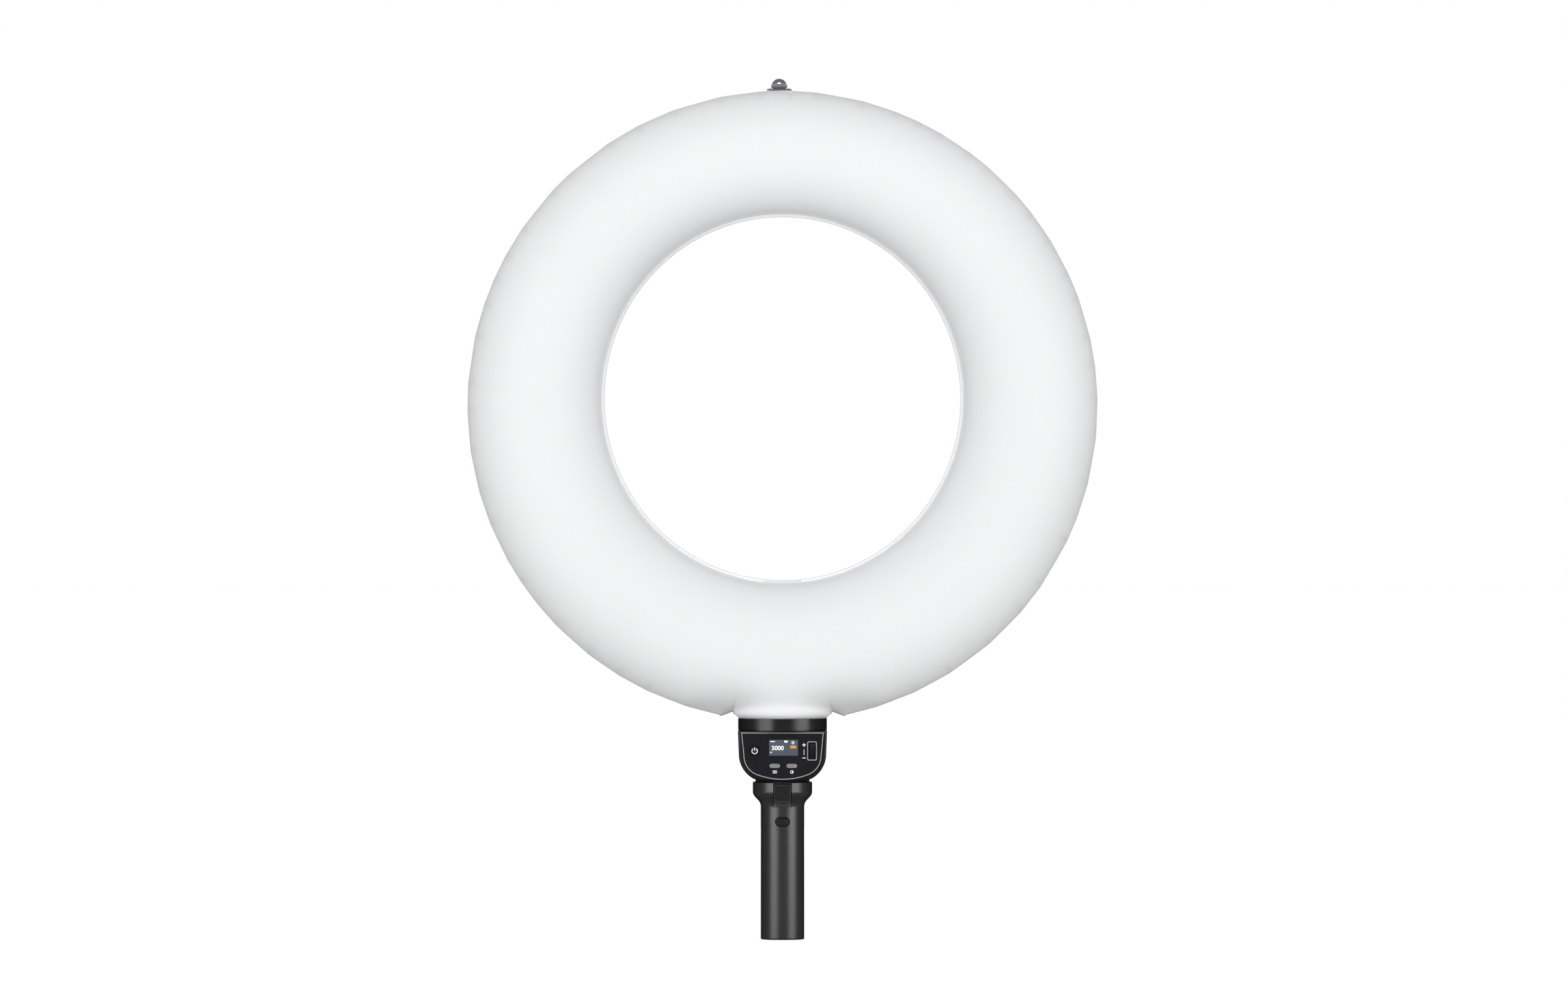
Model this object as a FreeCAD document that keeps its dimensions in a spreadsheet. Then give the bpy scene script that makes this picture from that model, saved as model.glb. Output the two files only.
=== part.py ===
import FreeCAD, Part
import math
import os
import Sketcher

# Inflatable ring light: a blown-up ring bag on a control head, on a pull-off battery handle.
# Millimetres. Origin at the centre of the handle's bottom face, +Z up the handle,
# the control panel faces -Y, +X is to the right of someone who looks at the panel.

V = FreeCAD.Vector
doc = FreeCAD.newDocument("ring_light")
sheet = doc.addObject("Spreadsheet::Sheet", "sizes")
rows = []
nodes = {}


class Size:
    """A length that knows its value and the sheet expression it comes from."""

    def __init__(self, value, text):
        self.value = value
        self.text = text

    def __float__(self):
        return float(self.value)

    def __add__(self, other):
        other = as_size(other)
        return Size(self.value + other.value, f"({self.text} + {other.text})")

    def __sub__(self, other):
        other = as_size(other)
        return Size(self.value - other.value, f"({self.text} - {other.text})")

    def __mul__(self, factor):
        return Size(self.value * float(factor), f"({self.text} * {float(factor)!r})")

    def __truediv__(self, factor):
        return Size(self.value / float(factor), f"({self.text} / {float(factor)!r})")

    def __neg__(self):
        return Size(-self.value, f"(0 - {self.text})")

    def __radd__(self, other):
        return as_size(other) + self

    def __rsub__(self, other):
        return as_size(other) - self


def as_size(number):
    if isinstance(number, Size):
        return number
    return Size(float(number), f"({float(number)!r})")


def size(alias, value):
    """Put one driving size in the sheet and hand it back."""
    rows.append(alias)
    row = len(rows)
    sheet.set(f"A{row}", alias)
    sheet.set(f"B{row}", str(value))
    sheet.setAlias(f"B{row}", alias)
    return Size(float(value), f"sizes.{alias}")


# Driving sizes: clearances and walls
moving_gap = size("moving_gap", 0.3)
seat_gap = size("seat_gap", 0.05)
pin_gap = size("pin_gap", 0.06)

# Driving sizes: handle
handle_radius = size("handle_radius", 17.3)
handle_wall = size("handle_wall", 2.0)
handle_height = size("handle_height", 124.9)
cap_rim = size("cap_rim", 1.0)
cap_plug = size("cap_plug", 13.0)
flare_radius = size("flare_radius", 23.6)
flare_length = size("flare_length", 19.9)
flare_full = size("flare_full", 7.8)
foot_out = size("foot_out", 2.0)
foot_rise = size("foot_rise", 5.1)
foot_arc = size("foot_arc", 7.5)
shoulder_in = size("shoulder_in", 1.6)
shoulder_rise = size("shoulder_rise", 4.1)
shoulder_arc = size("shoulder_arc", 6.0)
rim_chamfer = size("rim_chamfer", 0.6)
thread_radius = size("thread_radius", 3.175)
thread_depth = size("thread_depth", 9.5)
insert_wall = size("insert_wall", 1.9)
cell_radius = size("cell_radius", 13.1)
cell_gap = size("cell_gap", 3.4)
contact_sheet = size("contact_sheet", 0.6)
contact_cone = size("contact_cone", 1.6)

# Driving sizes: charging inlet
inlet_drop = size("inlet_drop", 31.5)
inlet_wide = size("inlet_wide", 8.94)
inlet_tall = size("inlet_tall", 3.3)
inlet_wall = size("inlet_wall", 0.3)
inlet_depth = size("inlet_depth", 7.9)
tongue_wide = size("tongue_wide", 6.7)
tongue_thick = size("tongue_thick", 0.7)
tongue_setback = size("tongue_setback", 0.9)
surround_wide = size("surround_wide", 12.0)
surround_tall = size("surround_tall", 8.2)
surround_thick = size("surround_thick", 3.0)
board_thick = size("board_thick", 1.4)
board_half = size("board_half", 11.0)

# Driving sizes: thumb latch
recess_half = size("recess_half", 7.35)
recess_length = size("recess_length", 20.55)
recess_floor = size("recess_floor", 16.3)
recess_corner = size("recess_corner", 1.5)
track_thick = size("track_thick", 0.7)
track_half = size("track_half", 6.1)
track_rise = size("track_rise", 0.6)
track_corner = size("track_corner", 1.1)
slider_length = size("slider_length", 14.0)
slider_drop = size("slider_drop", 1.9)
slider_top_out = size("slider_top_out", 23.9)
slider_low_out = size("slider_low_out", 20.9)
latch_travel = size("latch_travel", 3.5)
stem_half = size("stem_half", 2.5)
stem_length = size("stem_length", 4.0)
stem_above = size("stem_above", 4.2)
pad_half = size("pad_half", 5.9)
pad_margin = size("pad_margin", 0.9)
pad_sheet = size("pad_sheet", 0.5)
rib_height = size("rib_height", 0.5)
rib_wide = size("rib_wide", 0.75)

# Driving sizes: neck and spigot
spigot_length = size("spigot_length", 20.9)
spigot_wall = size("spigot_wall", 4.0)
spigot_flat = size("spigot_flat", 12.4)
spigot_flat_half = size("spigot_flat_half", 6.0)
neck_radius = size("neck_radius", 21.55)
neck_height = size("neck_height", 1.5)
key_half = size("key_half", 2.0)
key_out = size("key_out", 2.4)
key_length = size("key_length", 14.0)
pin_radius = size("pin_radius", 0.8)
pin_pitch = size("pin_pitch", 5.0)
pin_out = size("pin_out", 1.3)
block_thick = size("block_thick", 2.0)
leaf_thick = size("leaf_thick", 0.5)
leaf_half = size("leaf_half", 4.0)
nose_reach = size("nose_reach", 1.8)
nose_tall = size("nose_tall", 2.0)
nose_drop = size("nose_drop", 5.0)

# Driving sizes: control head
head_wall = size("head_wall", 2.0)
head_top_radius = size("head_top_radius", 35.25)
head_side_radius = size("head_side_radius", 34.6)
head_front = size("head_front", 30.0)
head_height = size("head_height", 38.7)
head_side_rise = size("head_side_rise", 20.8)
cup_arc = size("cup_arc", 22.3)
cup_foot_radius = size("cup_foot_radius", 22.6)
cup_foot_rise = size("cup_foot_rise", 1.0)
chin_arc = size("chin_arc", 134.0)
face_round = size("face_round", 1.6)
band_radius = size("band_radius", 35.3)
band_height = size("band_height", 9.4)
band_chamfer = size("band_chamfer", 0.35)
groove_radius = size("groove_radius", 34.9)
groove_height = size("groove_height", 0.5)

# Driving sizes: panel, display and controls
panel_thick = size("panel_thick", 0.9)
panel_below = size("panel_below", 0.3)
trim_proud = size("trim_proud", 0.15)
trim_wide = size("trim_wide", 0.8)
panel_top_half = size("panel_top_half", 32.7)
panel_top_drop = size("panel_top_drop", 0.9)
panel_side_half = size("panel_side_half", 30.9)
panel_side_rise = size("panel_side_rise", 19.0)
panel_side_arc = size("panel_side_arc", 16.2)
panel_low_half = size("panel_low_half", 20.5)
panel_low_rise = size("panel_low_rise", 3.9)
panel_low_arc = size("panel_low_arc", 57.2)
panel_low_drop = size("panel_low_drop", 38.4)
screen_x = size("screen_x", 0.83)
screen_drop = size("screen_drop", 13.0)
screen_wide = size("screen_wide", 23.0)
screen_tall = size("screen_tall", 12.6)
screen_frame = size("screen_frame", 1.3)
power_x = size("power_x", -22.0)
power_drop = size("power_drop", 15.5)
power_radius = size("power_radius", 3.5)
power_ring_wide = size("power_ring_wide", 1.1)
pill_wide = size("pill_wide", 8.3)
pill_tall = size("pill_tall", 3.15)
pill_drop = size("pill_drop", 27.3)
pill_x = size("pill_x", 0.65)
pill_spread = size("pill_spread", 6.73)
button_proud = size("button_proud", 0.3)
button_flange = size("button_flange", 0.7)
button_travel = size("button_travel", 0.5)
stem_radius = size("stem_radius", 1.4)
switch_half = size("switch_half", 2.2)
switch_thick = size("switch_thick", 1.5)
main_board_depth = size("main_board_depth", 5.5)
main_board_drop = size("main_board_drop", 4.6)
boss_sink = size("boss_sink", 3.2)
dial_x = size("dial_x", 23.6)
dial_drop = size("dial_drop", 15.5)
dial_radius = size("dial_radius", 9.5)
dial_wide = size("dial_wide", 4.4)
dial_proud = size("dial_proud", 1.3)
dial_axle_radius = size("dial_axle_radius", 1.5)
dial_notch = size("dial_notch", 0.35)
wheel_lip = size("wheel_lip", 1.5)
frame_wide = size("frame_wide", 7.7)
frame_tall = size("frame_tall", 15.1)
frame_line = size("frame_line", 0.75)
frame_corner = size("frame_corner", 1.2)
cheek_thick = size("cheek_thick", 1.0)
cheek_half = size("cheek_half", 4.0)

# Driving sizes: air pump
pump_y = size("pump_y", 6.0)
pump_radius = size("pump_radius", 13.0)
pump_height = size("pump_height", 13.0)
pump_wall = size("pump_wall", 1.2)
motor_radius = size("motor_radius", 8.0)
motor_length = size("motor_length", 16.0)
shaft_radius = size("shaft_radius", 1.0)
rotor_radius = size("rotor_radius", 10.6)
rotor_disc = size("rotor_disc", 1.2)
vane_tall = size("vane_tall", 6.0)
vane_thick = size("vane_thick", 0.9)
hub_radius = size("hub_radius", 2.6)
tube_radius = size("tube_radius", 4.0)
tube_wall = size("tube_wall", 0.9)
flap_radius = size("flap_radius", 6.5)
flap_thick = size("flap_thick", 0.8)
driver_half = size("driver_half", 18.0)

# Driving sizes: collar
collar_radius = size("collar_radius", 30.8)
collar_wall = size("collar_wall", 2.0)
collar_lip_radius = size("collar_lip_radius", 34.9)
collar_top_radius = size("collar_top_radius", 38.0)
collar_flare = size("collar_flare", 3.6)
collar_rim = size("collar_rim", 1.6)
seal_thick = size("seal_thick", 0.6)
seal_inner = size("seal_inner", 24.5)
seal_outer = size("seal_outer", 28.0)
rim_wide = size("rim_wide", 1.0)
rim_tall = size("rim_tall", 2.2)
neck_film = size("neck_film", 1.2)
neck_film_tall = size("neck_film_tall", 15.0)
screw_circle = size("screw_circle", 20.0)
screw_radius = size("screw_radius", 1.25)
screw_head_radius = size("screw_head_radius", 2.4)
screw_head_tall = size("screw_head_tall", 1.5)
screw_length = size("screw_length", 6.5)

# Driving sizes: bag
ring_radius = size("ring_radius", 250.1)
ring_dip = size("ring_dip", 2.6)
hole_half_wide = size("hole_half_wide", 141.3)
hole_half_tall = size("hole_half_tall", 144.1)
hole_raise = size("hole_raise", 5.8)
bag_depth = size("bag_depth", 98.0)
skin_thick = size("skin_thick", 0.8)
flange_wide = size("flange_wide", 2.9)
flange_thick = size("flange_thick", 1.0)
dimple_radius = size("dimple_radius", 49.0)
dimple_rise = size("dimple_rise", 4.5)
dimple_reach = size("dimple_reach", 78.4)
skirt_half = size("skirt_half", 35.0)
skirt_rise = size("skirt_rise", 43.5)
skirt_top_in = size("skirt_top_in", 0.6)
strip_back = size("strip_back", 0.4)
former_thick = size("former_thick", 0.9)
former_half = size("former_half", 5.0)
strip_thick = size("strip_thick", 0.4)
strip_half = size("strip_half", 4.0)
led_half = size("led_half", 1.4)
led_thick = size("led_thick", 0.8)
lead_radius = size("lead_radius", 1.2)
lead_x = size("lead_x", 14.0)

# Driving sizes: hanger on top
hanger_x = size("hanger_x", -2.6)
patch_half = size("patch_half", 14.0)
patch_half_deep = size("patch_half_deep", 8.0)
patch_thick = size("patch_thick", 0.4)
hanger_half = size("hanger_half", 9.8)
hanger_half_deep = size("hanger_half_deep", 4.0)
hanger_thick = size("hanger_thick", 0.8)
barrel_radius = size("barrel_radius", 1.9)
barrel_half = size("barrel_half", 5.1)
hanger_pin_radius = size("hanger_pin_radius", 1.0)
lug_half = size("lug_half", 6.1)
lug_cheek = size("lug_cheek", 0.8)
lug_thick = size("lug_thick", 1.5)
lug_eye = size("lug_eye", 1.75)
rivet_x = size("rivet_x", 7.4)
rivet_radius = size("rivet_radius", 1.1)
rivet_tall = size("rivet_tall", 0.5)

# Counts
PUMP_INLETS = 6
RIBS = 8
DIAL_NOTCHES = 36
VANES = 7
LEDS = 48
SECTIONS = 24
SECTION_POINTS = 16

# Places of the board bosses: to the right of the middle, and below the head's top
FRONT_BOSSES = [(-24.0, 7.1), (17.0, 3.6), (-15.0, 30.6), (17.0, 30.6)]
REAR_BOSSES = [(-14.0, 7.0), (14.0, 7.0), (-14.0, 19.0), (14.0, 19.0)]

# Directions in which an inset moves a corner between two curved sides
FOOT_SIDE, FOOT_UP = 0.46, 0.89
CHIN_SIDE, CHIN_UP = 0.36, 0.93

doc.recompute()


def bind(thing, **properties):
    """Tie each property of an object to its size; a double underscore stands for a dot."""
    for name, value in properties.items():
        thing.setExpression(name.replace("__", "."), as_size(value).text)
    return thing


def place(thing, x=0, y=0, z=0, turn=None):
    """Turn an object and tie its position to sizes."""
    rotation = turn or FreeCAD.Rotation()
    thing.Placement = FreeCAD.Placement(V(float(x), float(y), float(z)), rotation)
    return bind(thing, Placement__Base__x=x, Placement__Base__y=y, Placement__Base__z=z)


def rod(name, radius, length, x=0, y=0, z=0, along="z"):
    """A cylinder that starts at x, y, z and runs up, to the back or to the right."""
    turns = {
        "z": FreeCAD.Rotation(),
        "y": FreeCAD.Rotation(V(1, 0, 0), -90),
        "x": FreeCAD.Rotation(V(0, 1, 0), 90),
    }
    thing = doc.addObject("Part::Cylinder", name)
    bind(thing, Radius=radius, Height=length)
    return place(thing, x, y, z, turns[along])


def block(name, x, y, z):
    """A box between the low and high value of each pair."""
    thing = doc.addObject("Part::Box", name)
    spans = [as_size(pair[1]) - pair[0] for pair in (x, y, z)]
    bind(thing, Length=spans[0], Width=spans[1], Height=spans[2])
    return place(thing, x[0], y[0], z[0])


def cut(name, base, *tools):
    """The base with every tool taken out of it."""
    thing = doc.addObject("Part::Cut", name)
    thing.Base = base
    thing.Tool = tools[0] if len(tools) == 1 else fuse(f"{name}_tools", *tools)
    return thing


def fuse(name, *parts):
    thing = doc.addObject("Part::MultiFuse", name)
    thing.Shapes = list(parts)
    return thing


def common(name, *parts):
    thing = doc.addObject("Part::MultiCommon", name)
    thing.Shapes = list(parts)
    return thing


def group(name, parts):
    thing = doc.addObject("Part::Compound", name)
    thing.Links = list(parts)
    return thing


def node(label, thing):
    """Name a finished sub-part."""
    thing.Label = label
    nodes[label] = thing
    return thing


def origin_plane(body, role):
    return next(item for item in body.Origin.OriginFeatures if item.Role == role)


def arc_between(start, end, radius):
    """Arc from start to end; a positive radius keeps its centre on the left of the way."""
    chord = end - start
    half = chord.Length / 2
    side = 1 if radius > 0 else -1
    left = V(-chord.y, chord.x, 0).normalize() * side
    centre = (start + end) / 2 + left * math.sqrt(max(radius * radius - half * half, 0))
    middle = centre - left * abs(radius)
    if radius > 0:
        return Part.Arc(start, middle, end)
    return Part.Arc(end, middle, start)


def draw(sketch, outline):
    """Draw a closed outline of points; a third value is the radius of the arc up to a point.

    A half circle stands between two points with the same first value.
    """
    points = [V(float(item[0]), float(item[1]), 0) for item in outline]
    ends = []
    for index, item in enumerate(outline):
        before = points[index - 1]
        if len(item) == 3:
            edge = sketch.addGeometry(arc_between(before, points[index], float(item[2])), False)
            ends.append((edge, 1, 2) if float(item[2]) > 0 else (edge, 2, 1))
            radius = abs(float(item[2]))
            if abs(before.distanceToPoint(points[index]) - radius * 2) < 1e-6:
                middle = Sketcher.Constraint("DistanceX", -1, 1, edge, 3, points[index].x)
                tie(sketch, middle, f"middle{index}", item[0])
            else:
                bound = as_size(item[2]) if float(item[2]) > 0 else -as_size(item[2])
                tie(sketch, Sketcher.Constraint("Radius", edge, radius), f"arc{index}", bound)
        else:
            edge = sketch.addGeometry(Part.LineSegment(before, points[index]), False)
            ends.append((edge, 1, 2))
    for index, (edge, _, last) in enumerate(ends):
        follower = ends[(index + 1) % len(ends)]
        sketch.addConstraint(
            Sketcher.Constraint("Coincident", edge, last, follower[0], follower[1])
        )
        across = Sketcher.Constraint("DistanceX", -1, 1, edge, last, points[index].x)
        upward = Sketcher.Constraint("DistanceY", -1, 1, edge, last, points[index].y)
        tie(sketch, across, f"across{index}", outline[index][0])
        tie(sketch, upward, f"up{index}", outline[index][1])


def tie(sketch, constraint, name, value):
    """Add a named constraint and bind it to its size."""
    index = sketch.addConstraint(constraint)
    sketch.renameConstraint(index, name)
    sketch.setExpression(f"Constraints.{name}", as_size(value).text)


def sketch_in(body, name, role, outline, offset=0):
    """A sketch on one of the body's own planes, moved along that plane's normal."""
    sketch = body.newObject("Sketcher::SketchObject", name)
    sketch.AttachmentSupport = [(origin_plane(body, role), "")]
    sketch.MapMode = "FlatFace"
    sketch.AttachmentOffset = FreeCAD.Placement(V(0, 0, float(offset)), FreeCAD.Rotation())
    bind(sketch, AttachmentOffset__Base__z=offset)
    draw(sketch, outline)
    return sketch


def turned(name, outline, angle=360):
    """A body of revolution about Z from an outline of radius and height."""
    body = doc.addObject("PartDesign::Body", name)
    sketch = sketch_in(body, f"{name}_profile", "XZ_Plane", outline)
    feature = body.newObject("PartDesign::Revolution", f"{name}_turn")
    feature.Profile = sketch
    feature.ReferenceAxis = (sketch, ["V_Axis"])
    feature.Angle = angle
    sketch.Visibility = False
    return body


def facing(name, outline, front, back):
    """A body with an outline in X and Z, between two places along Y."""
    body = doc.addObject("PartDesign::Body", name)
    sketch = sketch_in(body, f"{name}_outline", "XZ_Plane", outline, -as_size(back))
    feature = body.newObject("PartDesign::Pad", f"{name}_pad")
    feature.Profile = sketch
    bind(feature, Length=as_size(back) - front)
    return body


def sideways(name, outline, left, right):
    """A body with an outline in Y and Z, between two places along X."""
    body = doc.addObject("PartDesign::Body", name)
    sketch = sketch_in(body, f"{name}_outline", "YZ_Plane", outline, left)
    feature = body.newObject("PartDesign::Pad", f"{name}_pad")
    feature.Profile = sketch
    bind(feature, Length=as_size(right) - left)
    return body


def stadium(x, z, wide, tall):
    """Outline of a flat slot with round ends."""
    across = (as_size(wide) - tall) / 2
    up = as_size(tall) / 2
    return [
        (x + across, z - up),
        (x + across, z + up, up),
        (x - across, z + up),
        (x - across, z - up, up),
    ]


def rounded(x, z, wide, tall, corner):
    """Outline of a rectangle with round corners."""
    across, up = as_size(wide) / 2, as_size(tall) / 2
    left, right, low, high = x - across, x + across, z - up, z + up
    return [
        (right - corner, low),
        (right, low + corner, corner),
        (right, high - corner),
        (right - corner, high, corner),
        (left + corner, high),
        (left, high - corner, corner),
        (left, low + corner),
        (left + corner, low, corner),
    ]


def disc_outline(name, radius, x, z, front, back):
    """A round plate or hole tool that faces the front."""
    return rod(name, radius, as_size(back) - front, x, front, z, "y")


# Heights and depths that several pieces share
cap_top = cap_rim + cap_plug
bore = handle_radius - handle_wall
rim_top = handle_height
recess_low = rim_top - recess_length
slider_top = rim_top - slider_drop
slider_low = slider_top - slider_length
stem_low = slider_low + stem_above
spigot_low = rim_top - spigot_length
spigot_radius = bore - moving_gap
inlet_z = rim_top - inlet_drop
block_top = spigot_low - moving_gap - pin_out
block_low = block_top - block_thick
cell_low = cap_top + contact_cone + contact_sheet
cell_top = inlet_z - surround_tall - cell_gap
cell_length = cell_top - cell_low
leaf_out = spigot_flat + moving_gap * 3 + leaf_thick
neck_low = rim_top + moving_gap
head_low = neck_low + neck_height
head_top = head_low + head_height
band_low = head_top + groove_height
band_top = band_low + band_height
face_y = -head_front
panel_front = face_y + panel_below
seat_y = panel_front + panel_thick
inner_y = face_y + head_wall
board_y = face_y + main_board_depth
ring_centre = band_top + ring_radius - ring_dip
collar_low = head_top + seal_thick
collar_floor = collar_low + collar_wall
collar_top = band_top + collar_flare + collar_rim
rim_low = band_top + collar_flare - moving_gap
hanger_low = ring_centre + ring_radius

# Handle: battery side
insert_outer = thread_radius + insert_wall
insert_top = thread_depth + contact_sheet
edge = cap_rim / 2
node(
    "bottom_cap",
    turned(
        "bottom_cap",
        [
            (insert_outer, 0),
            (handle_radius - edge, 0),
            (handle_radius, edge),
            (handle_radius, cap_rim),
            (bore - seat_gap, cap_rim),
            (bore - seat_gap, cap_top),
            (0, cap_top),
            (0, insert_top),
            (insert_outer, insert_top),
        ],
    ),
)
node(
    "stand_thread_insert",
    turned(
        "stand_thread_insert",
        [
            (insert_outer, 0),
            (insert_outer, insert_top),
            (0, insert_top),
            (0, thread_depth),
            (thread_radius, thread_depth),
            (thread_radius, 0),
        ],
    ),
)
node("battery_cell", rod("battery_cell", cell_radius, cell_length, z=cell_low))
carrier = rod("carrier_tube", bore - seat_gap, cell_top - cap_top, z=cap_top)
carrier_bore = rod("carrier_bore", cell_radius + seat_gap, cell_length * 2, z=cap_top)
node("battery_carrier", cut("battery_carrier", carrier, carrier_bore))
node(
    "battery_contact",
    turned(
        "battery_contact",
        [
            (0, cap_top),
            (cell_radius - contact_cone, cap_top),
            (cell_radius - contact_cone, cap_top + contact_sheet),
            (cell_radius / 2, cell_low),
            (0, cell_low),
        ],
    ),
)

# Handle: tube with the flared rim, the latch recess and the charging inlet
flare_z = rim_top - flare_length
full_z = rim_top - flare_full
tube = turned(
    "handle_tube",
    [
        (bore, cap_rim),
        (handle_radius, cap_rim),
        (handle_radius, flare_z),
        (handle_radius + foot_out, flare_z + foot_rise, -foot_arc),
        (flare_radius - shoulder_in, full_z - shoulder_rise),
        (flare_radius, full_z, shoulder_arc),
        (flare_radius, rim_top - rim_chamfer),
        (flare_radius - rim_chamfer, rim_top),
        (bore, rim_top),
    ],
)


def upright(half, low, high, corner):
    """Outline of a strip with round lower corners."""
    return [
        (half - corner, low),
        (half, low + corner, corner),
        (half, high),
        (-half, high),
        (-half, low + corner),
        (-half + corner, low, corner),
    ]


recess_outline = upright(recess_half, recess_low, rim_top + cap_rim, recess_corner)
recess_block = facing("recess_block", recess_outline, -flare_radius * 2, -spigot_flat)
recess = cut("latch_recess", recess_block, rod("recess_core", recess_floor, rim_top * 2))
slot_low = stem_low - latch_travel - moving_gap
slot = block(
    "stem_slot",
    (-stem_half - moving_gap, stem_half + moving_gap),
    (-recess_floor - handle_wall, -spigot_flat),
    (slot_low, stem_low + stem_length + moving_gap),
)
key_slot = block(
    "key_slot",
    (-key_half - moving_gap, key_half + moving_gap),
    (spigot_radius - key_half, spigot_radius + key_out + moving_gap),
    (neck_low - key_length - moving_gap * 2, rim_top + cap_rim),
)
inlet_hole = facing(
    "inlet_hole",
    stadium(0, inlet_z, surround_wide, surround_tall),
    -handle_radius * 2,
    -spigot_flat,
)
node("handle_shell", cut("handle_shell", tube, recess, slot, key_slot, inlet_hole))
track_radius = recess_floor + track_thick
track_outline = upright(track_half, recess_low + track_rise, slider_top, track_corner)
track_block = facing("track_block", track_outline, -flare_radius * 2, -spigot_flat)
track_round = common("track_round", track_block, rod("track_outer", track_radius, rim_top))
track_core = rod("track_core", recess_floor + seat_gap, rim_top)
node("latch_track", cut("latch_track", track_round, track_core, slot))

# Handle: charging inlet and its board
inlet_front = -handle_radius + moving_gap * 2
shell_outer = facing(
    "inlet_outer",
    stadium(0, inlet_z, inlet_wide, inlet_tall),
    inlet_front,
    inlet_front + inlet_depth,
)
shell_inner = facing(
    "inlet_inner",
    stadium(0, inlet_z, inlet_wide - inlet_wall * 2, inlet_tall - inlet_wall * 2),
    inlet_front - inlet_wall,
    inlet_front + inlet_depth - inlet_wall,
)
node("inlet_shell", cut("inlet_shell", shell_outer, shell_inner))
node(
    "inlet_tongue",
    block(
        "inlet_tongue",
        (-tongue_wide / 2, tongue_wide / 2),
        (inlet_front + tongue_setback, inlet_front + inlet_depth - inlet_wall),
        (inlet_z - tongue_thick / 2, inlet_z + tongue_thick / 2),
    ),
)
gasket = facing(
    "surround_plate",
    stadium(0, inlet_z, surround_wide - seat_gap, surround_tall - seat_gap),
    -handle_radius,
    -handle_radius + surround_thick,
)
gasket_hole = facing(
    "surround_hole",
    stadium(0, inlet_z, inlet_wide + seat_gap, inlet_tall + seat_gap),
    -handle_radius * 2,
    0,
)
gasket_round = rod("surround_round", handle_radius - moving_gap, handle_height)
node(
    "inlet_surround",
    cut("inlet_surround", common("surround_cut", gasket, gasket_round), gasket_hole),
)
charge_y = inlet_front + inlet_depth
node(
    "charge_board",
    block(
        "charge_board",
        (-board_half, board_half),
        (charge_y, charge_y + board_thick),
        (inlet_z - surround_tall, block_low),
    ),
)

# Handle: contacts and the catch that holds the spigot
flat_front = block(
    "block_flat",
    (-bore, bore),
    (-bore * 2, -leaf_out + leaf_thick),
    (block_low, block_top + cap_rim),
)
contact_disc = rod("contact_disc", bore - seat_gap, block_thick, z=block_low)
node("contact_block", cut("contact_block", contact_disc, flat_front))
pins = [
    rod(f"pin_{place_no}", pin_radius, pin_out, x=pin_pitch * place_no, z=block_top)
    for place_no in (-1, 0, 1)
]
node("contact_pins", group("contact_pins", pins))
nose_low = rim_top - nose_drop - nose_tall
leaf_in = leaf_out - leaf_thick
node(
    "catch_spring",
    sideways(
        "catch_spring",
        [
            (-leaf_out, block_low),
            (-leaf_in, block_low),
            (-leaf_in, nose_low),
            (-leaf_in + nose_reach, nose_low),
            (-leaf_in, nose_low + nose_tall),
            (-leaf_in, nose_low + nose_tall + leaf_thick),
            (-leaf_out, nose_low + nose_tall + leaf_thick),
        ],
        -leaf_half,
        leaf_half,
    ),
)
spring_radius = stem_half / 3
spring_y = -(bore + recess_floor) / 2
latch_coil = rod("latch_coil", spring_radius, stem_low - slot_low, y=spring_y, z=slot_low)
latch_core = rod("latch_core", spring_radius / 2, stem_low, y=spring_y, z=slot_low)
node("latch_spring", cut("latch_spring", latch_coil, latch_core))

# Thumb latch
slider_back = -track_radius - moving_gap
lean = (slider_top_out - slider_low_out) / float(slider_length)
slider_plate = sideways(
    "slider_plate",
    [
        (-spigot_flat, slider_low),
        (-spigot_flat, slider_top),
        (-slider_top_out, slider_top),
        (-slider_low_out, slider_low),
    ],
    -recess_half + moving_gap * 2,
    recess_half - moving_gap * 2,
)
slider_shell = cut("slider_shell", slider_plate, rod("slider_room", -slider_back, rim_top))
slider_stem = block(
    "slider_stem",
    (-stem_half, stem_half),
    (slider_back - moving_gap, -leaf_out - moving_gap),
    (stem_low, stem_low + stem_length),
)
pad_span = slider_length - pad_margin * 2


def pad_strip(name, out, start, end):
    """A strip on the sloping face, out from it, between two heights above its foot."""
    low = -slider_low_out - lean * float(start)
    high = -slider_low_out - lean * float(end)
    base = [(low + pad_sheet, slider_low + start), (high + pad_sheet, slider_low + end)]
    return sideways(
        name,
        base + [(high - out, slider_low + end), (low - out, slider_low + start)],
        -pad_half,
        pad_half,
    )


pad_seat = pad_strip("pad_seat", rib_height * 4, pad_margin, slider_length - pad_margin)
pad_base = pad_strip("pad_base", rib_height / 5, pad_margin, slider_length - pad_margin)
pitch = (pad_span - rib_wide * 2) / (RIBS - 1)
ribs = []
for rib_no in range(RIBS):
    foot = pad_margin + rib_wide / 2 + pitch * rib_no
    ribs.append(pad_strip(f"pad_rib_{rib_no}", rib_height, foot, foot + rib_wide))
node("latch_slider", cut("latch_slider", fuse("slider_body", slider_shell, slider_stem), pad_seat))
node("latch_pad", fuse("latch_pad", pad_base, *ribs))

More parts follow.
